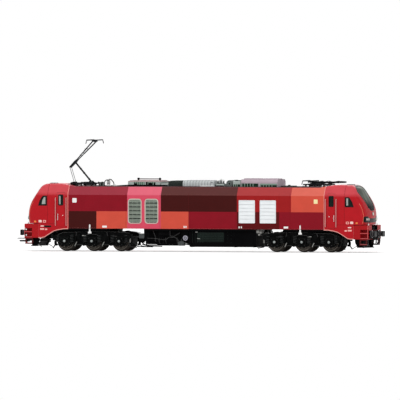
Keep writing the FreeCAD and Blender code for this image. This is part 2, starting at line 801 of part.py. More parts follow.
# ---------------------------------------------------------------- pantographs
# all along X from the middle of the vehicle, for the +X pantograph
panto_base = (77.4, 96.6)       # base frame
panto_pivot = (83.2, 48.4)
lower_arm = 18.44
raised_lower = 130.6            # degrees, measured at the left-hand pantograph
folded_lower = 178.0
upper_arm = 20.86
raised_upper = 46.0
folded_upper = 0.0
tail = 5.0                      # upper arm beyond the knee
thrust_base_height = 48.0
frame_level = 47.0              # underside of the base frame
frame_half = 5.6
frame_bar = 0.9             # width of its bars
frame_thick = 0.6
cross_thick = 0.4           # bars that carry the bearings
ear_half = 0.7
ear_thick = 0.6
insulator_places = (78.6, 89.2)
arm_radius = 0.6
fork_radius = 0.36
fork_spread = 4.9               # half distance of the upper arm's tubes at the head
fork_root = 1.35                # and at the knee
knee_half = 1.7
strip_gap = 6.4                 # between the two contact strips
strip_half = 8.0
horn_reach = 11.2
horn_drop = 2.4
strip_rise = 0.75               # strips above the head's pivot
thrust_y = 2.05
thrust_radius = 0.18
thrust_ears = 2.9               # the foot pins end in the frame's ears
pin_radius = 0.35
foot_pin_radius = 0.24
drum_size = 0.8                 # radius of the arm's lower bearing tube
knee_size = 0.9
tail_spread = 0.55
tail_pin = 1.7                  # half length of the pin at the tail's end


def polar(origin, length, degrees):
    angle = math.radians(degrees)
    return (origin[0] + length * math.cos(angle), origin[1] + length * math.sin(angle))


def linkage(lower, upper):
    """Knee, tail and head of the left-hand pantograph at two arm angles."""
    pivot = (-panto_pivot[0], panto_pivot[1])
    knee = polar(pivot, lower_arm, lower)
    return pivot, knee, polar(knee, tail, upper + 180), polar(knee, upper_arm, upper)


def thrust_base():
    """Foot of the thrust rod: as far from the tail's end when raised as when folded."""
    raised = linkage(raised_lower, raised_upper)[2]
    folded = linkage(folded_lower, folded_upper)[2]
    middle = ((raised[0] + folded[0]) / 2, (raised[1] + folded[1]) / 2)
    across = (folded[1] - raised[1], raised[0] - folded[0])
    share = (thrust_base_height - middle[1]) / across[1]
    return (middle[0] + across[0] * share, thrust_base_height)


def degrees_of(start, end):
    return math.degrees(math.atan2(end[1] - start[1], end[0] - start[0]))


def point(place, y):
    return (place[0], y, up(place[1]))


def strut(start, end, radius, trim=0.25):
    """A rod that stops just short of both its end points, inside the drums there."""
    a = V(*start)
    b = V(*end)
    along = (b - a).normalize() * trim
    return rod(a + along, b - along, radius)


def cross_rod(x, y0, y1, radius):
    return rod((x, y0, 0), (x, y1, 0), radius)


# each moving piece is made lying along +X from its own pivot at the origin
def arm_piece():
    whole = fuse([strut((0, 0, 0), (lower_arm, 0, 0), arm_radius),
                  cross_rod(0, -2.6, 2.6, drum_size),
                  cross_rod(lower_arm, -0.75, 0.75, knee_size)])
    bores = [cross_rod(x, -4, 4, pin_radius + running) for x in (0, lower_arm)]
    return whole.cut(fuse(bores))


def fork_piece():
    """Knee pin, two spreading tubes to the head and the tail for the thrust rod."""
    share = 0.6
    spread = fork_root + (fork_spread - fork_root) * share
    pieces = [cross_rod(0, -knee_half, knee_half, pin_radius),
              rod((upper_arm * share, -spread, 0.6), (upper_arm * share, spread, 0.6), 0.25),
              cross_rod(-tail, -tail_pin, tail_pin, 0.4)]
    for sign in (-1, 1):
        root = (0, sign * fork_root, 0)
        pieces.append(strut(root, (upper_arm, sign * fork_spread, 0), fork_radius))
        pieces.append(strut(root, (-tail, sign * tail_spread, 0), fork_radius))
        inner, outer = sorted((sign * 1.05, sign * knee_half))
        pieces.append(cross_rod(0, inner, outer, 0.8))
        inner, outer = sorted((sign * (fork_spread - 0.4), sign * (fork_spread + 0.5)))
        pieces.append(cross_rod(upper_arm, inner, outer, 0.55))
    return fuse(pieces)


def pan_piece():
    """The head: a cross tube between the fork's ends carries two contact strips."""
    reach = fork_spread - 0.5
    pieces = [cross_rod(0, -reach, reach, pin_radius)]
    for x in (-strip_gap / 2, strip_gap / 2):
        pieces.append(pan_strip(x, strip_rise))
    for y in (-3.4, 3.4):
        pieces.append(rod((-strip_gap / 2, y, strip_rise), (strip_gap / 2, y, strip_rise), 0.3))
        pieces.append(rod((0, y, 0), (0, y, strip_rise), 0.3))
    return fuse(pieces)


def pan_strip(x, level):
    """A contact strip with horns that bend down at its ends."""
    strip = box(x - 0.55, x + 0.55, -strip_half, strip_half, level - 0.3, level + 0.45)
    horns = []
    for sign in (-1, 1):
        route = [(x, sign * (strip_half - 0.6), level), (x, sign * (strip_half + 1.2), level),
                 (x, sign * horn_reach, level - horn_drop)]
        horns.append(bent_rod(route, 0.28, 1.6))
    return fuse([strip] + horns)


def thrust_piece(length):
    """Two wires with foot pins, which run up beside the tail, where the linkage is open."""
    wire = rod((0, thrust_y, 0), (length, thrust_y, 0), thrust_radius)
    pin = cross_rod(0, thrust_y - thrust_radius, thrust_ears, foot_pin_radius)
    return group(both_sides(fuse([wire, pin])))


def swung(shape, place, degrees):
    """The piece turned up from +X by an angle and put at its pivot's place."""
    copy = shape.copy()
    copy.rotate(V(0, 0, 0), V(0, -1, 0), degrees)
    copy.translate(V(place[0], 0, up(place[1])))
    return copy


def panto_pieces(lower, upper):
    """The left-hand pantograph's moving pieces at two arm angles."""
    pivot, knee, tail_end, head = linkage(lower, upper)
    foot = thrust_base()
    length = math.dist(foot, tail_end)
    return {"arm": swung(arm_piece(), pivot, lower), "fork": swung(fork_piece(), knee, upper),
            "pan": swung(pan_piece(), head, 0),
            "thrust": swung(thrust_piece(length), foot, degrees_of(foot, tail_end))}


def panto_frame():
    """Base frame with the bearings of arm and thrust rod."""
    x0, x1 = (-panto_base[1], -panto_base[0])
    pivot = (-panto_pivot[0], panto_pivot[1])
    foot = thrust_base()
    level = up(frame_level)
    frame = box(x0, x1, -frame_half, frame_half, level, level + frame_thick)
    frame = frame.cut(box(x0 + frame_bar, x1 - frame_bar, -frame_half + frame_bar,
                          frame_half - frame_bar, level - 1, level + 2))
    pieces = [frame]
    for place, inner, crown in ((pivot, 2.9, 0.6), (foot, 2.35, 0.4)):
        x = place[0]
        pieces.append(box(x - ear_half, x + ear_half, -frame_half, frame_half,
                          level, level + cross_thick))
        for sign in (-1, 1):
            y0, y1 = sorted((sign * inner, sign * (inner + ear_thick)))
            pieces.append(box(x - ear_half, x + ear_half, y0, y1, level, up(place[1]) + crown))
    whole = fuse(pieces)
    whole = whole.cut(rod(point(foot, -3), point(foot, 3), foot_pin_radius + running))
    return fuse([whole, rod(point(pivot, -3.3), point(pivot, 3.3), pin_radius)])


def panto_insulators():
    """Insulators between the roof and the base frame."""
    feet = []
    for x in insulator_places:
        for y in (-frame_half + frame_bar, frame_half - frame_bar):
            feet.append(insulator(-x, y, roof, frame_level, 1.0))
    return group(feet)


for name, piece in panto_pieces(raised_lower, raised_upper).items():
    save(f"panto_{name}_left", piece)
for name, piece in panto_pieces(folded_lower, folded_upper).items():
    save(f"panto_{name}_right", other_end(piece))
save("panto_frame_left", panto_frame())
save("panto_frame_right", other_end(panto_frame()))
save("panto_insulators", both_ends(panto_insulators()))

# ---------------------------------------------------------------- small fittings
rail_places = (35.6, 27.6)      # handrails each side of the cab door
rail_radius = 0.22
rail_height = (17.2, 37.0)
rail_out = 0.75


def handrails():
    bars = []
    for back in rail_places:
        x = front(back)
        low, high = up(rail_height[0]), up(rail_height[1])
        bars += both_sides(bent_rod([(x, side, low), (x, side + rail_out, low),
                                     (x, side + rail_out, high), (x, side, high)],
                                    rail_radius, 0.4))
    return group(bars)


save("handrails", both_ends(handrails()))

lamp_band = (21.4, 23.8)
lamp_half = 15.2


def lamp_strip():
    """Black band across the nose with the lamps behind it."""
    low, high = up(lamp_band[0]), up(lamp_band[1])
    skin = nose_block(-0.25).cut(nose_block(0))
    return skin.common(box(front(14), half, -lamp_half, lamp_half, low, high))


save("lamp_bands", both_ends(lamp_strip()))

hose_radius = 0.45
# brake hoses below the beam: side, start set-back, drop
hoses = [(4.6, 3.6, 5.2), (6.6, 3.4, 4.7), (-4.6, 3.6, 5.2), (-6.6, 3.4, 4.7)]


def brake_hoses():
    tubes = []
    face = front(bumper_front)
    for y, back, low in hoses:
        x = front(back)
        inward = math.copysign(1.9, -y)
        tubes.append(bent_rod([(face, y, up(9.6)), (front(1.4), y, up(9.6)), (front(1.4), y, up(low)),
                               (front(2.2), y + inward, up(low)), (x, y + inward, up(8.2))],
                              hose_radius, 0.8))
    return group(tubes)


save("brake_hoses_right", brake_hoses())

foot = thrust_base()
tail_raised = linkage(raised_lower, raised_upper)[2]
tail_folded = linkage(folded_lower, folded_upper)[2]
swing = folded_lower - raised_lower
print("joint data: arm swing", round(swing, 3), "fork ratio",
      round((folded_upper - raised_upper - swing) / swing, 4), "pan ratio",
      round((raised_upper - folded_upper) / swing, 4), "thrust ratio",
      round((degrees_of(foot, tail_folded) - degrees_of(foot, tail_raised)) / swing, 4))
print("thrust base", foot, "knee/head raised", linkage(raised_lower, raised_upper))
print("knee/head folded", linkage(folded_lower, folded_upper))
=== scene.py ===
"""Looks of the H0 scale model of a six-axle electric locomotive, made round its CAD frame.

The sizes below are millimetres: X along the track, Y across and Z above the rail head, which
lies a wheel flange above the floor. ahead() turns a distance behind the +X buffer faces into
an X. Stock gathers the faces of one piece, and its finished() lifts them off the floor and
turns them into an object in metres that rides on its body.
"""
import bmesh
import bpy
import json
import math
from mathutils import Matrix, Vector


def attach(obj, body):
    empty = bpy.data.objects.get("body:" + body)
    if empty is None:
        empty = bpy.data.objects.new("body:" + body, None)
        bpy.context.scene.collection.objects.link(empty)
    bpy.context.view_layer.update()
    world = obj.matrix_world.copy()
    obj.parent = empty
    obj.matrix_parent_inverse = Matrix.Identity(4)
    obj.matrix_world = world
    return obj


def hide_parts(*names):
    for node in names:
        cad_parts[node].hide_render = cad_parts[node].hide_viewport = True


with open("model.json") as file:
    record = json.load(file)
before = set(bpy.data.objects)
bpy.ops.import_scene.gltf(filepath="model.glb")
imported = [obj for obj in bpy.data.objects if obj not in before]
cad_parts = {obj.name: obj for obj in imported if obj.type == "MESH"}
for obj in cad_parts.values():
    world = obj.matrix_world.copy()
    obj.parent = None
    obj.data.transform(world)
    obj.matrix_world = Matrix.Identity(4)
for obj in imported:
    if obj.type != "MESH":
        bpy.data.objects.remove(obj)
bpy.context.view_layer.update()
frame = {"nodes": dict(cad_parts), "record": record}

MM = 0.001
FLANGE = 1.2            # rail head above the floor
HALF = 132.5            # middle of the vehicle to the buffer faces
SIDE = 16.5             # half width over the body sides
EAVES = 39.5            # foot of the inclined upper sides
SLOPE = 0.614           # their lean inwards for each millimetre of height
ROOF = 45.2             # roof of the machine room
CAB_ROOF = 47.1
SEAM = 95.6             # joint of cab and machine room
RAMP_FOOT = 91.5        # where the machine room's roof starts to rise to the cab's
RAMP_HEAD = 101.5
NOSE_SILL = 18.7        # lower edge of the nose
SCREEN_TOP = (13.4, 43.8)   # distance and height where the windscreen ends
BELT = (4.1, 29.6)          # the same where the nose is furthest forward


def ahead(distance):
    return HALF - distance


# ---------------------------------------------------------------- finishes
# patches of drifting tone, smears of roughness, chips along worn edges and the paint's grain,
# all in features a metre
CLOUDS, SMEARS, CHIPS, GRAIN = 160.0, 420.0, 1500.0, 2600.0
GRAIN_DEPTH = 0.02
PLAIN_SHINE = 0.09      # specular level of most finishes
GAMMA = 2.2
NO_EDGE = 0.0


def tone(red, green, blue):
    """Linear colour from the usual 0 to 255 values."""
    def linear(value):
        value /= 255
        return value / 12.92 if value <= 0.04045 else ((value + 0.055) / 1.055) ** 2.4
    return (linear(red), linear(green), linear(blue), 1.0)


class Finish:
    """A material's nodes, with short calls to add and join them."""

    def __init__(self, name, shine=PLAIN_SHINE):
        self.material = bpy.data.materials.new(name)
        self.material.use_nodes = True
        self.tree = self.material.node_tree
        self.shader = self.tree.nodes["Principled BSDF"]
        self.shader.inputs["Specular IOR Level"].default_value = shine
        self.place = self.add("TexCoord").outputs["Object"]

    def add(self, kind, **settings):
        node = self.tree.nodes.new("ShaderNode" + kind)
        for key, value in settings.items():
            setattr(node, key, value)
        return node

    def join(self, source, target):
        """Feeds an input from another node's output, or sets it to a plain value."""
        if isinstance(source, bpy.types.NodeSocket):
            self.tree.links.new(source, target)
        else:
            target.default_value = source

    def coordinate(self, axis):
        """The piece's own X, Y or Z in metres."""
        parts = self.add("SeparateXYZ")
        self.join(self.place, parts.inputs[0])
        return parts.outputs[axis]

    def rising(self, low, high):
        """0 below one height above the rail and 1 from another one on."""
        return self.spread(self.coordinate("Z"), 0.0, 1.0, (low + FLANGE) * MM, (high + FLANGE) * MM)

    def noise(self, scale, detail=3.0, stretch=None):
        """Noise on the piece's own coordinates, in features a metre."""
        node = self.add("TexNoise")
        node.inputs["Scale"].default_value = scale
        node.inputs["Detail"].default_value = detail
        source = self.place
        if stretch:
            mapping = self.add("Mapping")
            mapping.inputs["Scale"].default_value = stretch
            self.join(source, mapping.inputs["Vector"])
            source = mapping.outputs["Vector"]
        self.join(source, node.inputs["Vector"])
        return node.outputs["Fac"]

    def spread(self, source, low, high, start=0.3, end=0.7):
        """The source's values from start to end, spread from low to high."""
        node = self.add("MapRange")
        for label, value in (("From Min", start), ("From Max", end), ("To Min", low), ("To Max", high)):
            node.inputs[label].default_value = value
        self.join(source, node.inputs["Value"])
        return node.outputs["Result"]

    def mix(self, share, first, second):
        node = self.add("Mix", data_type="RGBA")
        self.join(share, node.inputs["Factor"])
        self.join(first, node.inputs[6])
        self.join(second, node.inputs[7])
        return node.outputs[2]

    def maths(self, operation, *values):
        node = self.add("Math", operation=operation)
        for value, socket in zip(values, node.inputs):
            self.join(value, socket)
        return node.outputs[0]

    def edges(self, radius):
        """1 on worn convex edges and 0 on open faces, with the rounded normal."""
        rounded = self.add("Bevel", samples=4)
        rounded.inputs["Radius"].default_value = radius * MM
        flat = self.add("NewGeometry").outputs["Normal"]
        dot = self.add("VectorMath", operation="DOT_PRODUCT")
        self.join(rounded.outputs["Normal"], dot.inputs[0])
        self.join(flat, dot.inputs[1])
        return self.spread(dot.outputs["Value"], 1.0, 0.0, 0.86, 0.985), rounded.outputs["Normal"]

    def coat(self, colour, worn, rough, rough_spread, drift, edge, bump):
        """Ties a colour to the shader with drift in tone, worn edges, roughness and bump."""
        toned = self.add("HueSaturation")
        self.join(self.spread(self.noise(CLOUDS), 1 - drift, 1 + drift), toned.inputs["Value"])
        self.join(colour, toned.inputs["Color"])
        base = toned.outputs["Color"]
        normal = None
        if edge:
            mask, normal = self.edges(edge)
            broken = self.maths("MULTIPLY", mask, self.spread(self.noise(CHIPS), 0.2, 0.9))
            base = self.mix(broken, base, worn)
        self.join(base, self.shader.inputs["Base Color"])
        uneven = self.spread(self.noise(SMEARS, 4.0), rough - rough_spread, rough + rough_spread)
        self.join(uneven, self.shader.inputs["Roughness"])
        if bump:
            relief = self.add("Bump")
            self.join(bump, relief.inputs["Strength"])
            self.join(GRAIN_DEPTH * MM, relief.inputs["Distance"])
            self.join(self.noise(GRAIN, 2.0), relief.inputs["Height"])
            if normal:
                self.join(normal, relief.inputs["Normal"])
            normal = relief.outputs["Normal"]
        if normal:
            self.join(normal, self.shader.inputs["Normal"])
        return self.material


def lighter(colour, share):
    return tuple(c + (1 - c) * share for c in colour[:3]) + (1.0,)


def paler(colour, share=0.12):
    """A tone as it looks where grazing light lies on it."""
    return tuple((c ** (1 / GAMMA) * (1 - share) + share) ** GAMMA for c in colour[:3]) + (1.0,)


def paint(name, colour, rough, rough_spread=0.06, drift=0.05, edge=0.12, bump=0.25, metal=0.0,
          worn=None, shine=PLAIN_SHINE):
    """Sprayed or moulded surface with slight drift of tone and pale worn edges."""
    finish = Finish(name, shine)
    finish.shader.inputs["Metallic"].default_value = metal
    return finish.coat(colour, worn or lighter(colour, 0.22), rough, rough_spread, drift, edge, bump)


# colour blocks along the side
CAB_RED = tone(176, 24, 33)
CRIMSON = tone(133, 14, 30)
PINK = tone(212, 76, 98)
UMBER = tone(62, 10, 8)
BRICK = tone(154, 26, 28)
ORANGE = tone(206, 79, 62)
MAROON = tone(88, 8, 12)
ROOF_TONE = tone(150, 150, 152)
BLOCK_END = 140.0           # beyond either end of the vehicle
BLOCK_SPLIT = 27.6          # height where the two rows meet
# start of each block in X and its colour
upper_blocks = [(-BLOCK_END, CAB_RED), (-SEAM, CRIMSON), (-52.3, PINK), (-26.9, UMBER), (30.0, BRICK),
                (70.3, ORANGE), (SEAM, CAB_RED)]
lower_blocks = [(-BLOCK_END, CAB_RED), (-SEAM, UMBER), (-74.7, ORANGE), (-52.3, PINK), (-26.9, ORANGE),
                (-5.6, CRIMSON), (30.0, MAROON), (62.1, CRIMSON), (SEAM, CAB_RED)]


def block_row(finish, along, blocks):
    """A row of colour blocks with crisp joints."""
    ramp = finish.add("ValToRGB")
    ramp.color_ramp.interpolation = "CONSTANT"
    stops = ramp.color_ramp.elements
    while len(stops) < len(blocks):
        stops.new(0.5)
    for stop, (start, colour) in zip(stops, blocks):
        stop.position = (start + BLOCK_END) / (2 * BLOCK_END)
        stop.color = colour
    finish.join(along, ramp.inputs["Fac"])
    return ramp.outputs["Color"]


def body_paint():
    """Blocks of colour on the machine room's sides, paler with a painted sheen on the inclined upper sides,
    and a grey roof.
    """
    finish = Finish("painted casing with colour blocks")
    x, z = finish.coordinate("X"), finish.coordinate("Z")
    along = finish.spread(x, 0.0, 1.0, -BLOCK_END * MM, BLOCK_END * MM)

    def over(height):
        return finish.maths("GREATER_THAN", z, (height + FLANGE) * MM)

    # painted sheen: the blocks above the eaves are paler, as where light from above grazes them
    sloping_sheen = [(start, paler(colour)) for start, colour in upper_blocks]
    blocks = block_row(finish, along, lower_blocks)
    for height, row in ((BLOCK_SPLIT, upper_blocks), (EAVES - 0.3, sloping_sheen)):
        blocks = finish.mix(over(height), blocks, block_row(finish, along, row))
    flat = finish.maths("LESS_THAN", finish.maths("ABSOLUTE", x), (RAMP_FOOT + 0.3) * MM)
    on_roof = finish.maths("MULTIPLY", over(ROOF - 0.05), flat)
    colour = finish.mix(on_roof, blocks, ROOF_TONE)
    return finish.coat(colour, tone(214, 120, 118), 0.36, 0.06, 0.04, 0.15, 0.2)


def cab_paint():
    """Cab red, paler with a painted sheen where the side leans in over the eaves and light from above grazes
    it.
    """
    finish = Finish("cab red paint")
    sheen_share = finish.rising(EAVES - 1.2, EAVES + 1.6)
    colour = finish.mix(sheen_share, CAB_RED, paler(tone(186, 26, 36), 0.17))
    return finish.coat(colour, tone(222, 120, 114), 0.36, 0.06, 0.05, 0.15, 0.2)


def bumper_paint():
    """Red above, with painted shade darkening the steps that hang below it."""
    finish = Finish("bumper red paint")
    across = finish.maths("ABSOLUTE", finish.coordinate("Y"))
    outside = finish.maths("GREATER_THAN", across, 15.4 * MM)
    # painted shade: the hanging steps are dark red, darkest outside the beam
    steps = finish.mix(outside, tone(14, 8, 8), tone(72, 12, 14))
    colour = finish.mix(finish.rising(7.9, 9.0), steps, tone(166, 22, 28))
    return finish.coat(colour, tone(206, 84, 78), 0.42, 0.06, 0.06, 0.12, 0.25)


def screen_glazing():
    """Tinted windscreen: near black at its foot, and higher up grey green patches of painted reflection."""
    finish = Finish("windscreen glazing", 0.012)
    # painted reflection: pale grey green patches drift over the glass above its dark foot
    patches = finish.spread(finish.noise(150.0, 2.0, (1.0, 1.0, 0.5)), 0.0, 1.0, 0.42, 0.6)
    reflection_tone = finish.mix(patches, tone(76, 82, 76), tone(100, 106, 96))
    colour = finish.mix(finish.rising(31.5, 36.5), tone(10, 11, 12), reflection_tone)
    return finish.coat(colour, tone(120, 124, 120), 0.14, 0.04, 0.08, NO_EDGE, 0.0)


finishes = {
    "body_paint": body_paint(),
    "cab_paint": cab_paint(),
    "bumper_red": bumper_paint(),
    "dark_glass": paint("dark cab glazing", tone(20, 22, 22), 0.14, 0.04, 0.1, NO_EDGE, 0.0),
    "screen_glass": screen_glazing(),
    "side_glass": paint("side window glazing", tone(22, 34, 30), 0.14, 0.04, 0.2, NO_EDGE, 0.0, shine=0.05),
    "pane_grey": paint("painted reflection on the panes", tone(158, 164, 158), 0.3, drift=0.1, edge=NO_EDGE),
    "rim_highlight_pale": paint("pale red rim, painted highlight", tone(228, 158, 150), 0.35, drift=0.05, edge=NO_EDGE),
    "crease_highlight_pale": paint("painted highlight on the nose's crease", tone(226, 120, 96), 0.35, drift=0.08, edge=NO_EDGE),
    "seam_dark": paint("dark panel joint", tone(96, 16, 22), 0.6, drift=0.1, edge=NO_EDGE),
    "grille_grey": paint("silver grey grille frame", tone(196, 188, 176), 0.45, drift=0.07),
    "grille_green": paint("grey green grille slat", tone(156, 168, 154), 0.45, drift=0.1),
    "grille_white": paint("white louvre", tone(234, 238, 240), 0.42, drift=0.03),
    "chassis_black": paint("chassis black", tone(5, 5, 6), 0.6, drift=0.3, worn=tone(48, 50, 50),
                           shine=0.025),
    "buffer_black": paint("buffer dark grey", tone(26, 26, 28), 0.42, drift=0.2, worn=tone(104, 104, 102)),
    # the pale worn edges of the bogies are partly wear and partly painted highlight, for the glints on their
    # details
    "bogie_black": paint("bogie black", tone(6, 7, 7), 0.58, drift=0.3, worn=tone(74, 78, 76), shine=0.035),
    "cap_silver": paint("silver axle cap", tone(150, 156, 154), 0.38, drift=0.14, metal=0.3),
    "bogie_spring": paint("dark coil spring", tone(40, 42, 42), 0.45, drift=0.2, worn=tone(96, 98, 96)),
    "nozzle_grey": paint("grey sand nozzle", tone(148, 148, 144), 0.45, drift=0.15),
    "tyre_steel": paint("bare tyre steel", tone(104, 98, 90), 0.35, 0.1, 0.15, metal=0.6,
                        worn=tone(190, 184, 176)),
    "tank_green": paint("dark green grey cover", tone(18, 27, 24), 0.45, drift=0.25, worn=tone(66, 76, 70),
                        shine=0.06),
    "box_grey": paint("underfloor mid grey", tone(72, 76, 76), 0.5, drift=0.2),
    "buffer_grey": paint("buffer mid grey", tone(92, 88, 90), 0.45, drift=0.15),
    "tread_wear_and_highlight": paint("worn step edge and painted highlight", tone(214, 112, 112), 0.4, drift=0.1, edge=NO_EDGE),
    "louvre_green": paint("dark louvre opening", tone(22, 44, 34), 0.6, drift=0.25, edge=NO_EDGE, shine=0.05),
    "fin_green": paint("green grey fin", tone(124, 146, 132), 0.5, drift=0.15),
    "drum_grey": paint("exhaust drum grey", tone(104, 110, 108), 0.5, drift=0.15),
    "fairing_joint": paint("fairing joint", tone(104, 108, 108), 0.5, drift=0.12, edge=NO_EDGE),
    "pipe_dark": paint("dark pipe", tone(40, 40, 40), 0.4, drift=0.2, metal=0.3),
    "wheel_steel": paint("browned wheel steel", tone(52, 47, 43), 0.45, 0.1, 0.2, metal=0.3,
                         worn=tone(150, 146, 140)),
    "box_lilac": paint("grey lilac box", tone(168, 166, 178), 0.45, drift=0.08),
    "roof_grey": paint("roof light grey", tone(158, 166, 162), 0.5, drift=0.09),
    "roof_pale": paint("pale ribbed fairing", tone(182, 186, 186), 0.5, drift=0.07),
    "roof_lilac": paint("roof grey lilac", tone(176, 158, 168), 0.5, drift=0.07),
    "cap_pink": paint("pinkish top rail", tone(196, 150, 152), 0.5, drift=0.1),
    "roof_dark": paint("roof dark grey", tone(34, 40, 37), 0.5, drift=0.2, worn=tone(120, 126, 120)),
    "gutter_dark": paint("dark gutter tone and painted shade", tone(64, 30, 34), 0.5, drift=0.15),
    "bar_metal": paint("busbar metal", tone(96, 86, 90), 0.4, drift=0.1),
    "cable_dark": paint("dark roof cable", tone(34, 30, 32), 0.5, drift=0.15, shine=0.06),
    "insulator_grey": paint("brown grey insulator", tone(64, 58, 58), 0.3, drift=0.15),
    "panto_metal": paint("pantograph metal", tone(20, 22, 25), 0.45, drift=0.2,
                         worn=tone(84, 88, 92), shine=0.08),
    "rail_pale": paint("pale handrail", tone(206, 158, 154), 0.35, drift=0.06),
    "lamp_black": paint("black trim", tone(12, 13, 14), 0.32, drift=0.2, shine=0.08),
    "lamp_glass": paint("lamp lens", tone(240, 226, 212), 0.12, 0.04, 0.05, NO_EDGE, 0.0),
    "hose_black": paint("hose black", tone(20, 20, 21), 0.5, drift=0.2),
    "plate_white": paint("white plate", tone(236, 236, 234), 0.45, drift=0.03, edge=NO_EDGE),
    "plate_cream": paint("cream plate", tone(240, 226, 170), 0.45, drift=0.04, edge=NO_EDGE),
    "plate_pink": paint("pale pink plate", tone(238, 176, 168), 0.45, drift=0.06, edge=NO_EDGE),
    "plate_pale": paint("pale label", tone(240, 206, 200), 0.45, drift=0.05, edge=NO_EDGE),
    "plate_orange": paint("orange plate", tone(226, 130, 70), 0.45, drift=0.06, edge=NO_EDGE),
}

# CAD nodes that are shown as they are take the finish of their slot
SPECIAL_FINISH = {"radiator": "roof_lilac", "ribbed_fairing": "roof_pale", "exhaust_drum": "drum_grey"}
for part in frame["record"]["subparts"]:
    shown = frame["nodes"][part["node"]]
    shown.data.materials.clear()
    shown.data.materials.append(finishes[SPECIAL_FINISH.get(part["node"], part["material_slot"])])


def extent(node):
    """Start, end and half width of a node, and its foot and top above the rail, in millimetres."""
    shown = frame["nodes"][node]
    corners = [shown.matrix_world @ Vector(corner) for corner in shown.bound_box]
    low = [min(values) / MM for values in zip(*corners)]
    high = [max(values) / MM for values in zip(*corners)]
    return low[0], high[0], high[1], low[2] - FLANGE, high[2] - FLANGE

# ---------------------------------------------------------------- making pieces
WELD = 0.0005           # corners nearer than this are one
TINY = 0.001
MIRROR = {"x": Matrix.Diagonal((-1, 1, 1, 1)), "y": Matrix.Diagonal((1, -1, 1, 1))}
# a point of a cross-section at a depth along each axis
PLACED = {"x": lambda a, b, depth: (depth, a, b),
          "y": lambda a, b, depth: (a, depth, b),
          "z": lambda a, b, depth: (a, b, depth)}


def welded(bm):
    """Merges doubles and turns the faces outwards."""
    bmesh.ops.remove_doubles(bm, verts=bm.verts, dist=WELD)
    bmesh.ops.recalc_face_normals(bm, faces=bm.faces)


def smoothed(bm, angle, round_edges):
    """Rounds the edges sharper than an angle and shades the rest smooth."""
    welded(bm)
    limit = math.radians(angle)
    if round_edges:
        sharp = [e for e in bm.edges if len(e.link_faces) == 2 and e.calc_face_angle(0) > limit]
        bmesh.ops.bevel(bm, geom=sharp, offset=round_edges, segments=2, profile=0.5,
                        affect="EDGES", clamp_overlap=True)
    for face in bm.faces:
        face.smooth = True
    for edge in bm.edges:
        edge.smooth = len(edge.link_faces) == 2 and edge.calc_face_angle(0) < limit


def belt(here, there, count):
    """Four-cornered faces between two closed rows of corners that start at these numbers."""
    return [(here + i, here + (i + 1) % count, there + (i + 1) % count, there + i) for i in range(count)]


def disc(radius, start, end):
    """Half section of a bar or disc for turned(), from start to end along its axis."""
    return [(0, start), (radius, start), (radius, end), (0, end)]


def hoop(inner, outer, start, end):
    """Half section of a plain ring for turned()."""
    return [(inner, start), (outer, start), (outer, end), (inner, end)]


def bolt_head(crown, radius, top, shoulder, foot):
    """Half section of a bolt's head for turned(), with a chamfer from its crown to its shoulder."""
    return [(0, top), (crown, top - 0.02), (radius, shoulder), (radius, foot), (0, foot)]


def plain_mesh(obj):
    """The object's mesh with its modifiers worked in."""
    graph = bpy.context.evaluated_depsgraph_get()
    return bpy.data.meshes.new_from_object(obj.evaluated_get(graph), depsgraph=graph)


def held(bm):
    """A scratch object that holds a copy of these faces."""
    mesh = bpy.data.meshes.new("work")
    bm.to_mesh(mesh)
    obj = bpy.data.objects.new("work", mesh)
    bpy.context.scene.collection.objects.link(obj)
    return obj


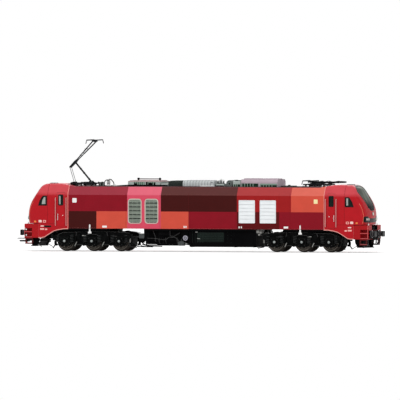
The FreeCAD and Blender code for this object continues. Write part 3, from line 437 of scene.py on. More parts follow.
class Stock:
    """Faces of one piece, in millimetres."""

    def __init__(self):
        self.bm = bmesh.new()

    def faces(self, points, loops):
        corners = [self.bm.verts.new(p) for p in points]
        for loop in loops:
            self.bm.faces.new([corners[i] for i in loop])
        return self

    def prism(self, outline, axis, start, end):
        """A closed outline in the two other axes, stretched along axis from start to end."""
        count = len(outline)
        points = [PLACED[axis](a, b, depth) for depth in (start, end) for a, b in outline]
        caps = [tuple(range(count)), tuple(range(2 * count - 1, count - 1, -1))]
        return self.faces(points, caps + belt(0, count, count))

    def block(self, x0, x1, y0, y1, z0, z1):
        return self.prism([(x0, y0), (x1, y0), (x1, y1), (x0, y1)], "z", z0, z1)

    def on_sides(self, x0, x1, inner, outer, low, high):
        """The same block on both long sides of the vehicle."""
        for side in (-1, 1):
            self.block(x0, x1, *sorted((side * inner, side * outer)), low, high)
        return self

    def frame(self, outer, inner, axis, start, end):
        """A band between two outlines of as many points, stretched along axis."""
        count = len(outer)
        corners = ((outer, start), (outer, end), (inner, end), (inner, start))
        points = [PLACED[axis](a, b, depth) for outline, depth in corners for a, b in outline]
        loops = [loop for band in range(4) for loop in belt(band * count, (band + 1) % 4 * count, count)]
        return self.faces(points, loops)

    def turned(self, profile, centre, axis="y", sides=24):
        """An outline of (radius, distance along axis) turned about a line through centre.

        An outline that starts on the axis stays open there.
        """
        middle = Vector(centre)
        count = len(profile)
        points = []
        for number in range(sides):
            angle = math.tau * number / sides
            cosine, sine = math.cos(angle), math.sin(angle)
            points += [middle + Vector(PLACED[axis](radius * cosine, radius * sine, depth))
                       for radius, depth in profile]
        loops = []
        for number in range(sides):
            here, there = number * count, (number + 1) % sides * count
            for i in range(count if profile[0][0] > TINY else count - 1):
                j = (i + 1) % count
                if profile[i][0] < TINY:
                    loops.append((here + i, here + j, there + j))
                elif profile[j][0] < TINY:
                    loops.append((here + i, here + j, there + i))
                else:
                    loops.append((here + i, here + j, there + j, there + i))
        return self.faces(points, loops)

    def take(self, other, matrix=None):
        """Adds another stock's faces or a mesh, moved by a matrix."""
        mesh = other
        if isinstance(other, Stock):
            mesh = bpy.data.meshes.new("copy")
            other.bm.to_mesh(mesh)
        before = len(self.bm.verts)
        self.bm.from_mesh(mesh)
        if matrix is not None:
            self.bm.verts.ensure_lookup_table()
            bmesh.ops.transform(self.bm, matrix=matrix, verts=self.bm.verts[before:])
        if isinstance(other, Stock):
            bpy.data.meshes.remove(mesh)
        return self

    def mirrored(self, axis):
        """Adds the mirror image across the middle of the vehicle."""
        return self.take(Stock().take(self), MIRROR[axis])

    def turned_end(self):
        """The same faces as a piece at the other end of the vehicle."""
        return Stock().take(self, MIRROR["x"])

    def carved(self, cutter, operation="DIFFERENCE"):
        """These faces with another stock's form taken away from or kept inside them."""
        welded(self.bm)
        welded(cutter.bm)
        base, tool = held(self.bm), held(cutter.bm)
        knife = base.modifiers.new("knife", "BOOLEAN")
        knife.operation = operation
        knife.solver = "EXACT"
        knife.object = tool
        result = Stock().take(plain_mesh(base))
        bpy.data.objects.remove(base)
        bpy.data.objects.remove(tool)
        return result

    def finished(self, name, finish, body="root", slot=None, round_edges=0.0, angle=35.0, stands_for=()):
        """The piece as an object in metres that rides on its body."""
        smoothed(self.bm, angle, round_edges)
        bmesh.ops.translate(self.bm, vec=(0, 0, FLANGE), verts=self.bm.verts)
        bmesh.ops.scale(self.bm, vec=(MM, MM, MM), verts=self.bm.verts)
        mesh = bpy.data.meshes.new(name)
        self.bm.to_mesh(mesh)
        self.bm.free()
        mesh.materials.clear()
        mesh.materials.append(finishes[finish])
        for face in mesh.polygons:
            face.material_index = 0
        obj = bpy.data.objects.new(name, mesh)
        bpy.context.scene.collection.objects.link(obj)
        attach(obj, body)
        if stands_for:
            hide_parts(*stands_for)
        return obj


def rounded(x0, x1, z0, z1, radius, steps=4):
    """Outline of a rectangle with rounded corners."""
    points = []
    for x, z, start in ((x1 - radius, z1 - radius, 0), (x0 + radius, z1 - radius, 90),
                        (x0 + radius, z0 + radius, 180), (x1 - radius, z0 + radius, 270)):
        for step in range(steps + 1):
            angle = math.radians(start + 90 * step / steps)
            points.append((x + radius * math.cos(angle), z + radius * math.sin(angle)))
    return points


def shrunk(outline, distance):
    """A closed outline with each side moved inwards by a distance."""
    count = len(outline)
    area = sum(outline[i - 1][0] * outline[i][1] - outline[i][0] * outline[i - 1][1] for i in range(count))
    inwards = distance * math.copysign(1, area)
    lines = []
    for i in range(count):
        start, end = Vector(outline[i]), Vector(outline[(i + 1) % count])
        along = (end - start).normalized()
        lines.append((start + Vector((-along.y, along.x)) * inwards, along))
    points = []
    for i in range(count):
        (first, u), (second, w) = lines[i - 1], lines[i]
        cross = u.cross(w)
        share = (second - first).cross(w) / cross if abs(cross) > TINY ** 2 else 0
        points.append(tuple(first + u * share if share else second))
    return points


def symmetric(half):
    """A half outline and its mirror image, joined where it ends."""
    return half + [(-across, height) for across, height in reversed(half)]


def both_ways(runs):
    """Runs of (x, y, height) on the +Y side and their mirror images."""
    return [[(x, side * y, height) for x, y, height in run] for run in runs for side in (-1, 1)]


# ---------------------------------------------------------------- trees for what repeats
def new_tree(name, sizes):
    """A node tree with a geometry input, the named sizes, a finish and a geometry output."""
    tree = bpy.data.node_groups.new(name, "GeometryNodeTree")
    tree.interface.new_socket("Geometry", in_out="INPUT", socket_type="NodeSocketGeometry")
    for label, kind, value in sizes:
        socket = tree.interface.new_socket(label, in_out="INPUT", socket_type="NodeSocket" + kind)
        socket.default_value = value
    tree.interface.new_socket("Finish", in_out="INPUT", socket_type="NodeSocketMaterial")
    tree.interface.new_socket("Geometry", in_out="OUTPUT", socket_type="NodeSocketGeometry")
    return tree, tree.nodes.new("NodeGroupInput"), tree.nodes.new("NodeGroupOutput")


def wired(tree, *wires):
    """Joins outputs to inputs, each wire as node, output, node, input."""
    for source, output, target, entry in wires:
        tree.links.new(source.outputs[output], target.inputs[entry])


def closed_tree(tree, source, entry, leave):
    """Ends a tree in real geometry that carries its finish."""
    real = tree.nodes.new("GeometryNodeRealizeInstances")
    dress = tree.nodes.new("GeometryNodeSetMaterial")
    wired(tree, (source, 0, real, 0), (real, 0, dress, "Geometry"), (entry, "Finish", dress, "Material"),
          (dress, 0, leave, 0))
    return tree


def rows_tree():
    """The piece repeated in a row, and that row repeated in another direction."""
    sizes = [("Count", "Int", 2), ("Step", "Vector", (1, 0, 0)), ("Rows", "Int", 1),
             ("Row step", "Vector", (0, 0, 1))]
    tree, entry, leave = new_tree("repeated in rows", sizes)
    source, output = entry, "Geometry"
    for count, step in (("Count", "Step"), ("Rows", "Row step")):
        line = tree.nodes.new("GeometryNodeMeshLine")
        spots = tree.nodes.new("GeometryNodeInstanceOnPoints")
        wired(tree, (entry, count, line, "Count"), (entry, step, line, "Offset"),
              (line, 0, spots, "Points"), (source, output, spots, "Instance"))
        source, output = spots, 0
    return closed_tree(tree, spots, entry, leave)


def swept(tree):
    """Nodes that sweep a ring along a curve."""
    ring = tree.nodes.new("GeometryNodeCurvePrimitiveCircle")
    skin = tree.nodes.new("GeometryNodeCurveToMesh")
    skin.inputs["Fill Caps"].default_value = True
    wired(tree, (ring, 0, skin, "Profile Curve"))
    return ring, skin


def pipes_tree():
    """Loose edges become rounded pipes of one radius, with rounded bends."""
    sizes = [("Radius", "Float", 1.0), ("Bend", "Float", 1.0), ("Sides", "Int", 10)]
    tree, entry, leave = new_tree("pipes along runs", sizes)
    runs = tree.nodes.new("GeometryNodeMeshToCurve")
    bends = tree.nodes.new("GeometryNodeFilletCurve")
    bends.mode = "POLY"
    bends.inputs["Count"].default_value = 5
    bends.inputs["Limit Radius"].default_value = True
    ring, skin = swept(tree)
    wired(tree, (entry, "Geometry", runs, "Mesh"), (runs, 0, bends, "Curve"),
          (entry, "Bend", bends, "Radius"), (entry, "Radius", ring, "Radius"),
          (entry, "Sides", ring, "Resolution"), (bends, 0, skin, "Curve"))
    return closed_tree(tree, skin, entry, leave)


def springs_tree():
    """A coil spring standing on each point of the input."""
    sizes = [("Radius", "Float", 1.4), ("Wire", "Float", 0.22), ("Height", "Float", 5.0),
             ("Turns", "Float", 4.5)]
    tree, entry, leave = new_tree("coil springs", sizes)
    coil = tree.nodes.new("GeometryNodeCurveSpiral")
    coil.inputs["Resolution"].default_value = 10
    ring, skin = swept(tree)
    ring.inputs["Resolution"].default_value = 6
    spots = tree.nodes.new("GeometryNodeInstanceOnPoints")
    wired(tree, (entry, "Radius", coil, "Start Radius"), (entry, "Radius", coil, "End Radius"),
          (entry, "Height", coil, "Height"), (entry, "Turns", coil, "Rotations"),
          (entry, "Wire", ring, "Radius"), (coil, 0, skin, "Curve"), (entry, "Geometry", spots, "Points"),
          (skin, 0, spots, "Instance"))
    return closed_tree(tree, spots, entry, leave)


ROWS_TREE, PIPES_TREE, SPRINGS_TREE = rows_tree(), pipes_tree(), springs_tree()


def grown(source, tree, finish, **sizes):
    """A stock made from another by a node tree with these sizes."""
    obj = held(source.bm)
    modifier = obj.modifiers.new("tree", "NODES")
    modifier.node_group = tree
    sizes["Finish"] = finishes[finish]
    for item in tree.interface.items_tree:
        if item.in_out == "INPUT" and item.name in sizes:
            modifier[item.identifier] = sizes[item.name]
    result = Stock().take(plain_mesh(obj))
    bpy.data.objects.remove(obj)
    return result


def rows(item, finish, count, step, lines=1, line_step=(0.0, 0.0, 1.0)):
    """The piece repeated count times in steps, and that row in as many lines."""
    return grown(item, ROWS_TREE, finish,
                 **{"Count": count, "Step": [float(v) for v in step], "Rows": lines,
                    "Row step": [float(v) for v in line_step]})


def pipes(runs, radius, finish, bend=1.0, sides=10):
    """Pipes of one radius along runs of points."""
    lines = Stock()
    for run in runs:
        corners = [lines.bm.verts.new(p) for p in run]
        for a, b in zip(corners, corners[1:]):
            lines.bm.edges.new((a, b))
    return grown(lines, PIPES_TREE, finish, Radius=float(radius), Bend=float(bend), Sides=sides)


def springs(feet, finish, radius, wire, height, turns):
    """Coil springs standing on these points."""
    points = Stock()
    for foot in feet:
        points.bm.verts.new(foot)
    return grown(points, SPRINGS_TREE, finish, Radius=radius, Wire=wire, Height=height, Turns=turns)


# ---------------------------------------------------------------- cabs
NOSE_FOOT = 5.6         # distance of the nose's lower edge
BELT_RADIUS = 22.4      # bend of the nose in side view where it is furthest forward
PLAN_RADIUS = 60.0      # bow of the nose seen from above
CORNER = 4.5            # rounding between the bow and the cab's sides
EDGE = 3.0              # rounding between the cab's inclined side and its roof
SEAM_EDGE = 1.2         # the same where the cab meets the machine room
LEAN = math.hypot(1, SLOPE)
CAB_WALL = 1.0
BUMPER_BACK = 14.75
SCREEN_BACK = 111.8     # X behind the windscreen's upper edge
NOSE_FRONT = 135.0      # X in front of the whole nose
PROUD = 0.04            # of the doors over the cab's side
GLASS = (0.7, 0.22)     # depths of the side panes' faces
# half outline of the windscreen as (y, height), then outlines as (distance, height)
windscreen = [(3.0, 28.6), (7.6, 30.8), (8.6, 33.9), (10.2, 39.3), (11.4, 42.1), (9.5, 45.0), (5.5, 46.9)]
skirt_line = [(36.9, 14.7), (34.1, 14.7), (29.4, 14.0), (26.3, 13.1), (22.4, 10.8), (19.2, 8.7),
              (16.9, 8.3), (14.75, 8.3)]
side_window = [(21.0, 31.5), (14.7, 31.5), (14.9, 32.4), (15.8, 35.0), (17.2, 37.3), (18.2, 38.4),
               (21.0, 38.4)]
# rectangles as distance of the back and the front, bottom and top
door = (34.5, 28.6, 16.2, 40.8)
door_window = (33.2, 29.6, 31.6, 39.3)


def half_width(height, inset=0.0, top=CAB_ROOF, edge=EDGE):
    """Half width over the casing at a height, or over a surface inset from its outside."""
    pivot = top - edge
    if height > pivot + (edge - inset) * SLOPE / LEAN:
        middle = SIDE - (pivot - EAVES) * SLOPE - edge * LEAN
        return middle + math.sqrt(max((edge - inset) ** 2 - (height - pivot) ** 2, 0.0))
    return min(SIDE - inset, SIDE - (height - EAVES) * SLOPE - inset * LEAN)


def nose_line(inset=0.0):
    """Up the middle of the nose from its sill to the roof, as (x, height) inset from its face."""
    foot_x, belt_x, top_x = ahead(NOSE_FOOT), ahead(BELT[0]), ahead(SCREEN_TOP[0])
    low = -math.atan2(belt_x - foot_x, BELT[1] - NOSE_SILL)
    screen = math.atan2(belt_x - top_x, SCREEN_TOP[1] - BELT[1])
    share = BELT_RADIUS / (1 + math.cos(screen - low))
    dome = (CAB_ROOF - SCREEN_TOP[1]) / (1 - math.sin(screen))
    stations = [(foot_x - (h - NOSE_SILL) * math.tan(low), h, low) for h in (NOSE_SILL, 20.2)]
    for radius, x, height, start, end, steps in (
            (BELT_RADIUS, belt_x - share * (math.cos(low) + math.cos(screen)),
             BELT[1] - share * (math.sin(low) + math.sin(screen)), low, screen, 8),
            (dome, top_x - dome * math.cos(screen), SCREEN_TOP[1] - dome * math.sin(screen), screen,
             math.pi / 2, 14)):
        for step in range(steps + 1):
            tilt = start + (end - start) * step / steps
            stations.append((x + radius * math.cos(tilt), height + radius * math.sin(tilt), tilt))
    for height in (37.6, 38.7, EAVES, 40.3, 42.1):
        stations.append((belt_x - (height - BELT[1]) * math.tan(screen), height, screen))
    stations.sort(key=lambda s: s[1])
    line = [(x - inset * math.cos(t), h - inset * math.sin(t)) for x, h, t in stations]
    return [(line[0][0], NOSE_SILL)] + line[1:]


def ring(x, height, inset):
    """Half of the cab's outline at one height, from its back round to the middle of its front."""
    wide = half_width(height, inset)
    bow, corner = PLAN_RADIUS - inset, CORNER - inset
    hub = x - bow
    corner_wide = wide - corner
    corner_x = hub + math.sqrt((bow - corner) ** 2 - corner_wide ** 2)
    turn = math.atan2(corner_wide, corner_x - hub)
    points = []
    for along, edge in ((SEAM, SEAM_EDGE), ((SEAM + RAMP_HEAD) / 2, (SEAM_EDGE + EDGE) / 2),
                        (RAMP_HEAD, EDGE)):
        top = ROOF + (along - RAMP_FOOT) * (CAB_ROOF - ROOF) / (RAMP_HEAD - RAMP_FOOT)
        level = height
        if height > EAVES:
            level = EAVES + (height - EAVES) * (top - EAVES) / (CAB_ROOF - EAVES)
        points.append((along, half_width(level, inset, top, edge), level))
    for part in (0.25, 0.5, 0.75):
        points.append((RAMP_HEAD + (corner_x - RAMP_HEAD) * part, wide, height))
    for step in range(8):
        angle = math.pi / 2 + (turn - math.pi / 2) * step / 7
        points.append((corner_x + corner * math.cos(angle), corner_wide + corner * math.sin(angle), height))
    for step in range(1, 8):
        angle = turn * (7 - step) / 7
        points.append((hub + bow * math.cos(angle), bow * math.sin(angle), height))
    return points


def cab_skin(outer=0.0, inner=CAB_WALL):
    """The +X cab above its sill, as a closed skin between two insets."""
    sheets = []
    for inset in (outer, inner):
        rings = [ring(x, height, inset) for x, height in nose_line(inset)]
        rings.append([(x, 0.0, z) for x, y, z in rings[-1]])
        sheets.append(rings)
    high, wide = len(sheets[0]), len(sheets[0][0])

    def at(sheet, row, column):
        return (sheet * high + row) * wide + column

    loops = [(at(sheet, r, c), at(sheet, r, c + 1), at(sheet, r + 1, c + 1), at(sheet, r + 1, c))
             for sheet in (0, 1) for r in range(high - 1) for c in range(wide - 1)]
    loops += [(at(0, 0, c), at(0, 0, c + 1), at(1, 0, c + 1), at(1, 0, c)) for c in range(wide - 1)]
    loops += [(at(0, r, 0), at(0, r + 1, 0), at(1, r + 1, 0), at(1, r, 0)) for r in range(high - 1)]
    points = [p for rings in sheets for line in rings for p in line]
    return Stock().faces(points, loops).mirrored("y")


def face_x(height, y=0.0):
    """X of the nose's outside at a height, this far from the middle."""
    line = nose_line()
    x = line[-1][0]
    for (x0, h0), (x1, h1) in zip(line, line[1:]):
        if h0 <= height <= h1:
            x = x0 + (x1 - x0) * (height - h0) / (h1 - h0)
    return x - PLAN_RADIUS + math.sqrt(PLAN_RADIUS ** 2 - y ** 2)


def end_outline(points):
    """An outline of distances behind the buffers, as X and height."""
    return [(ahead(distance), height) for distance, height in points]


def span(rectangle, margin=0.0, radius=0.0):
    """Outline of a back, front, bottom, top rectangle, grown by a margin."""
    back, front, low, high = rectangle
    return rounded(ahead(back) - margin, ahead(front) + margin, low - margin, high + margin, radius)


def screen_outline(inset=0.0):
    """The windscreen's outline, or a smaller one inside it."""
    outline = symmetric(windscreen)
    return shrunk(outline, inset) if inset else outline


def across(outline):
    """A cutter right through the cab from side to side."""
    return Stock().prism(outline, "y", -20, 20)


def both_cabs(stock, name, finish, stands_for=(), **options):
    """A +X piece and its like at the other end, as two objects."""
    for side, piece in (("left", stock.turned_end()), ("right", stock)):
        nodes = [f"{node}_{side}" for node in stands_for]
        piece.finished(f"{name}_{side}", finish, stands_for=nodes, **options)


# casing with its skirt, cut for doors and windows
DOOR_GAP = 0.14
door_hole = across(span(door, DOOR_GAP, 0.5))
screen_hole = Stock().prism(screen_outline(), "x", SCREEN_BACK, NOSE_FRONT)
shell = cab_skin().carved(Stock().take(door_hole).take(across(end_outline(side_window))).take(screen_hole))
skirt = end_outline(skirt_line + [(BUMPER_BACK, NOSE_SILL), (HALF - SEAM, NOSE_SILL)])
plates = Stock().prism(skirt, "y", SIDE - CAB_WALL, SIDE).mirrored("y")
shell.take(plates.carved(door_hole))
both_cabs(shell, "cab_casing", "cab_paint", stands_for=["cab_shell"], angle=40)

# windscreen and its gasket
glass = cab_skin(0.16, 0.8).carved(screen_hole, "INTERSECT")
both_cabs(glass, "windscreen_pane", "screen_glass", slot="dark_glass", stands_for=["windscreen"])
band = Stock().frame(screen_outline(), screen_outline(0.6), "x", SCREEN_BACK, NOSE_FRONT)
both_cabs(cab_skin(-0.05, 0.7).carved(band, "INTERSECT"), "windscreen_gasket", "lamp_black")

# doors follow the side up over the eaves
LEAF_TOP = 42
wide = half_width(LEAF_TOP)
leaf = [(SIDE - CAB_WALL, 15), (SIDE + PROUD, 15), (SIDE + PROUD, EAVES), (wide + PROUD, LEAF_TOP),
        (wide - CAB_WALL, LEAF_TOP)]
leaves = Stock().prism(leaf, "x", 96, 106).mirrored("y").carved(across(span(door, 0, 0.5)), "INTERSECT")
leaves = leaves.carved(across(span(door_window, 0, 0.7))).mirrored("x")
leaves.finished("cab_door_leaves", "cab_paint", stands_for=["cab_doors"])

# side panes, their seals and the painted reflections on them
deep, shallow = (SIDE - depth for depth in GLASS)
panes = Stock().prism(span(door_window, 0, 0.7), "y", deep, shallow)
panes.prism(end_outline(side_window), "y", deep, shallow).mirrored("y").mirrored("x")
panes.finished("cab_side_panes", "side_glass", slot="dark_glass", stands_for=["cab_windows"])
seals = Stock()
for outer, inner in ((span(door_window, 0.12, 0.82), span(door_window, -0.5, 0.4)),
                     [shrunk(end_outline(side_window), inset) for inset in (-0.12, 0.65)]):
    seals.frame(outer, inner, "y", SIDE - 0.8, SIDE + 0.14)
seals.mirrored("y").mirrored("x").finished("cab_window_seals", "lamp_black", round_edges=0.08)
LIGHT = (SIDE - 0.25, SIDE - 0.16)      # just outside the panes
# painted reflections: pale patches just outside some of the side and door panes
pane_reflections = Stock().block(ahead(20.1), ahead(18.8), *LIGHT, 32.6, 37.9)
pane_reflections.block(-ahead(31.2), -ahead(29.6), *LIGHT, 32.4, 38.4)
pane_reflections.prism([(-115.4, 32.5), (-112.6, 32.5), (-112.6, 37.7), (-113.6, 37.5), (-114.7, 35.6)], "y", *LIGHT)
pane_reflections.mirrored("y").finished("cab_window_reflections", "pane_grey", slot="dark_glass")

# skirt lip, panel joints and the strip between cab and machine room; lip and strip are pale with painted
# highlight
line = end_outline(skirt_line)
# painted highlight: a pale lip along the skirt's lower edge
lip = Stock().prism(line + [(x, z + 0.55) for x, z in reversed(line)], "y", SIDE - 0.05, SIDE + 0.16)
both_cabs(lip.mirrored("y"), "cab_skirt_lip", "rim_highlight_pale", slot="cab_paint")
cut = Stock().block(110.82, 110.98, -20, 20, 19, 48)
joints = cab_skin(-0.03, 0.2).carved(cut, "INTERSECT")
joints.on_sides(SEAM + 0.1, 117.7, SIDE - 0.1, SIDE + 0.03, NOSE_SILL - 0.07, NOSE_SILL + 0.07)
both_cabs(joints, "cab_panel_joints", "seam_dark", slot="cab_paint")
HIGHLIGHT_END = SEAM + 0.32
# painted highlight: a pale strip up the joint between cab and machine room
joint_highlight = cab_skin(-0.06, 0.4).carved(Stock().block(SEAM - 1, HIGHLIGHT_END, -20, 20, 19.5, 48), "INTERSECT")
joint_highlight.on_sides(SEAM, HIGHLIGHT_END, SIDE - 0.1, SIDE + 0.06, 14.8, 19.5)
both_cabs(joint_highlight, "cab_joint_highlight", "rim_highlight_pale", slot="cab_paint")

# lamps sit in a dark band across the nose
band = [(7.2, 20.3), (14.2, 20.5), (15.2, 21.3), (15.2, 24.0), (14.0, 24.8), (9.8, 24.8), (7.8, 23.3)]
band = Stock().prism(symmetric(band), "x", 118, NOSE_FRONT)
band = cab_skin(-0.1, 0.4).carved(band, "INTERSECT").mirrored("x")
band.finished("lamp_band_covers", "lamp_black", round_edges=0.05, stands_for=["lamp_bands"])
lenses, rims = Stock(), Stock()
# distance from the middle, height and radius of each lens; the four in the band are lamps, the middle one low
# on the nose is a painted highlight for the nose's glint
for y, height, radius in ((9.0, 22.6, 0.85), (-9.0, 22.6, 0.85), (11.7, 22.6, 0.75), (-11.7, 22.6, 0.75),
                          (0.0, 26.4, 1.0)):
    place = (face_x(height, y), y, height)
    lenses.turned([(0, 0.62), (radius * 0.6, 0.55), (radius, 0.3), (radius, -0.6), (0, -0.6)], place, "x", 20)
    rims.turned([(radius + 0.05, -0.5), (radius + 0.05, 0.42), (radius + 0.3, 0.42), (radius + 0.4, -0.5)],
                place, "x", 20)
both_cabs(lenses, "head_lamps_and_nose_glint", "lamp_glass", slot="rail_pale")
both_cabs(rims, "head_lamp_rims", "cap_silver")
# arms and blades of the wipers: half width, height and how far they stand off the glass
wipers = ([(2.2, 28.9, 0.35), (4.2, 31.0, 0.5), (7.3, 35.4, 0.45)],
          [(5.2, 32.0, 0.32), (6.2, 34.0, 0.32), (7.9, 38.6, 0.32)])
lines = [[(face_x(height, y) + off, y, height) for y, height, off in line] for line in wipers]
both_cabs(pipes(both_ways(lines), 0.13, "hose_black", 0.6, 8), "windscreen_wipers", "hose_black")

# ---------------------------------------------------------------- machine room sides
def along_sides(stock, name, finish, **options):
    """A piece made for the +Y side, finished with its mirror image on the body."""
    stock.mirrored("y").finished(name, finish, **options)


def plates_of(*rows_of_plates):
    """Thin plates on the side: start, end, foot, top and corner radius of each."""
    stock = Stock()
    for x0, x1, low, high, radius in rows_of_plates:
        stock.prism(rounded(x0, x1, low, high, radius), "y", SIDE - 0.1, SIDE + 0.06)
    return stock


# oval-cornered grilles: bays of slats between dark bars, crossed by two posts
BAYS = 6
BAY_PITCH = 2.78
FIRST_SLAT = 20.25
FIRST_BAR = 22.12
backs, frames, slats, bars = Stock(), Stock(), Stock(), Stock()
for x0, x1 in ((-50.9, -40.6), (-38.4, -28.1)):
    outline = rounded(x0 + 0.02, x1 - 0.02, 18.82, 36.68, 2.2, 8)
    field = rounded(x0 + 0.75, x1 - 0.75, 19.55, 35.95, 1.5, 8)
    backs.prism(outline, "y", SIDE - 1.2, SIDE - 0.8)
    frames.frame(outline, field, "y", SIDE - 1.0, SIDE + 0.12)
    slat = Stock().prism([(SIDE - 0.75, FIRST_SLAT), (SIDE - 0.12, FIRST_SLAT - 0.16),
                          (SIDE - 0.12, FIRST_SLAT + 0.1), (SIDE - 0.75, FIRST_SLAT + 0.3)],
                         "x", x0 + 0.6, x1 - 0.6)
    slats.take(rows(slat, "grille_green", 4, (0, 0, 0.54), BAYS, (0, 0, BAY_PITCH)))
    bar = Stock().block(x0 + 0.6, x1 - 0.6, SIDE - 0.7, SIDE - 0.02, FIRST_BAR, FIRST_BAR + 0.24)
    bars.take(rows(bar, "roof_dark", BAYS - 1, (0, 0, BAY_PITCH)))
    post = Stock().block(x0 + 3.5, x0 + 3.62, SIDE - 0.6, SIDE - 0.06, 19.5, 36)
    slats.take(rows(post, "grille_green", 2, (3.2, 0, 0)))
along_sides(backs, "oval_grille_backs", "roof_dark")
along_sides(frames, "oval_grille_frames", "grille_grey", round_edges=0.12, stands_for=["oval_grilles"])
along_sides(slats, "oval_grille_slats", "grille_green", slot="grille_grey")
along_sides(bars, "oval_grille_bars", "roof_dark")

# white grilles: six overlapping boards in each frame
BOARD_FOOT = 20.0
frames, boards = Stock(), Stock()
for x0, x1 in ((32.0, 44.1), (47.7, 59.8)):
    outline = rounded(x0 + 0.02, x1 - 0.02, 19.52, 35.98, 0.5, 4)
    field = rounded(x0 + 0.5, x1 - 0.5, BOARD_FOOT, 35.5, 0.3, 4)
    frames.frame(outline, field, "y", SIDE - 1.0, SIDE + 0.12)
    frames.prism(outline, "y", SIDE - 1.2, SIDE - 0.95)
    section = [(SIDE - 1.0, BOARD_FOOT), (SIDE + 0.02, BOARD_FOOT), (SIDE - 0.03, BOARD_FOOT + 0.16),
               (SIDE - 0.28, BOARD_FOOT + 2.5), (SIDE - 1.0, BOARD_FOOT + 2.5)]
    board = Stock().prism(section, "x", x0 + 0.45, x1 - 0.45)
    boards.take(rows(board, "grille_white", 6, (0, 0, 2.6)))
along_sides(frames, "louvre_frames", "grille_white", round_edges=0.06, stands_for=["louvre_grilles"])
along_sides(boards, "louvre_boards", "grille_white")

# ledge, gutter and upright joints between the wall panels; the gutter's dark tone is partly painted shade
# along the roof's edge
ledge = [(SIDE - 0.1, 15.25), (SIDE + 0.14, 15.35), (SIDE + 0.14, 15.62), (SIDE - 0.1, 15.75)]
ledges = Stock().prism(ledge, "x", -SEAM + 0.05, SEAM - 0.05)
along_sides(ledges, "body_ledges", "body_paint")
edge = half_width(ROOF, top=99)
gutter = [(edge - 0.75, ROOF - 0.1), (edge + 0.02, ROOF - 0.08), (edge - 0.1, ROOF + 0.45),
          (edge - 0.6, ROOF + 0.5)]
# painted shade: the dark gutter darkens the roof's edge
gutters = Stock().prism(gutter, "x", -RAMP_FOOT, RAMP_FOOT)
along_sides(gutters, "roof_gutters", "gutter_dark", slot="roof_dark", round_edges=0.06)
joint = [(SIDE - 0.1, 15.8), (SIDE + 0.025, 15.8), (SIDE + 0.025, EAVES), (edge + 0.03, ROOF - 0.2),
         (edge - 0.1, ROOF - 0.2), (SIDE - 0.1, EAVES - 0.05)]
joints = Stock()
for x in (-52.3, -26.9, -5.6, 30.0, 62.1, 70.3):
    joints.prism(joint, "x", x - 0.05, x + 0.05)
along_sides(joints, "body_panel_joints", "seam_dark", slot="body_paint")

# blank plates on the machine room and markers of the jacking points
plates = plates_of((-92.4, -89.2, 33.7, 36.9, 0.5), (-70.0, -66.6, 15.9, 17.3, 0.2),
                   (65.6, 69.0, 15.9, 17.3, 0.2), (-9.2, -8.4, 15.95, 17.4, 0.1),
                   (-7.8, -7.0, 15.95, 17.4, 0.1), (31.9, 32.8, 15.95, 17.2, 0.1),
                   (33.6, 34.4, 15.95, 17.2, 0.1))
along_sides(plates, "blank_plates", "plate_white", slot="rail_pale")
plates = plates_of((88.1, 91.0, 33.7, 36.8, 0.3))
along_sides(plates, "blank_plates_cream", "plate_cream", slot="rail_pale")
arrow = [(1.25, 11.6), (1.25, 12.7), (0.62, 13.2), (0.42, 17.9), (0, 18.3), (-0.42, 17.9), (-0.62, 13.2),
         (-1.25, 12.7), (-1.25, 11.6)]
markers = Stock()
for x in (-79.4, 77.9):
    markers.prism([(x + dx, height) for dx, height in arrow], "y", SIDE - 0.25, SIDE + 0.1)
along_sides(markers, "jacking_markers", "plate_white", slot="rail_pale", round_edges=0.05)
slots = Stock().prism(rounded(-113.6, -108.2, 15.9, 17.2, 0.55), "y", SIDE - 0.1, SIDE + 0.03)
along_sides(slots, "skirt_slot", "lamp_black")

# small plates on the cab sides: start, end, foot, top, corner radius and steps round a corner
LABEL = ("y", SIDE - 0.1, SIDE + 0.05)
frames = Stock().frame(rounded(112.2, 114.3, 19.3, 21.0, 0.2, 2),
                       rounded(112.6, 113.9, 19.7, 20.6, 0.1, 2), *LABEL)
for name, finish, stock, plates in (
        ("cab_side_plates", "plate_pink", frames, ((111.2, 112.9, 13.9, 15.0, 0.18, 2),
                                                   (113.5, 116.5, 14.1, 15.2, 0.18, 2))),
        ("cab_side_labels", "plate_pale", Stock(), ((115.3, 117.6, 19.4, 21.1, 0.3, 3),
                                                    (113.6, 116.2, 16.4, 17.2, 0.3, 3))),
        ("cab_side_spots", "plate_orange", Stock(), ((119.4, 121.0, 19.4, 20.6, 0.4, 4),))):
    for plate in plates:
        stock.prism(rounded(*plate), *LABEL)
    both_cabs(stock.mirrored("y"), name, finish, slot="rail_pale")
grip = [(103.2, SIDE + out, height) for out, height in ((-0.2, 25.6), (0.4, 25.4), (0.4, 21.2), (-0.2, 21.0))]
grips = pipes([grip], 0.16, "plate_white", 0.3, 8)
grips.turned([(0, 0.22), (0.3, 0.18), (0.38, -0.1), (0, -0.1)], (99.6, SIDE, 24.5), "y", 14)
both_cabs(grips.mirrored("y"), "cab_door_grips", "plate_white", slot="rail_pale")


def corner_y(x, height):
    """Half width of the cab at a place along it, round the nose's corner."""
    outline = ring(face_x(height), height, 0.0)
    for (x0, y0, z0), (x1, y1, z1) in zip(outline, outline[1:]):
        if x0 <= x <= x1:
            return y0 + (y1 - y0) * (x - x0) / (x1 - x0)
    return outline[-1][1]


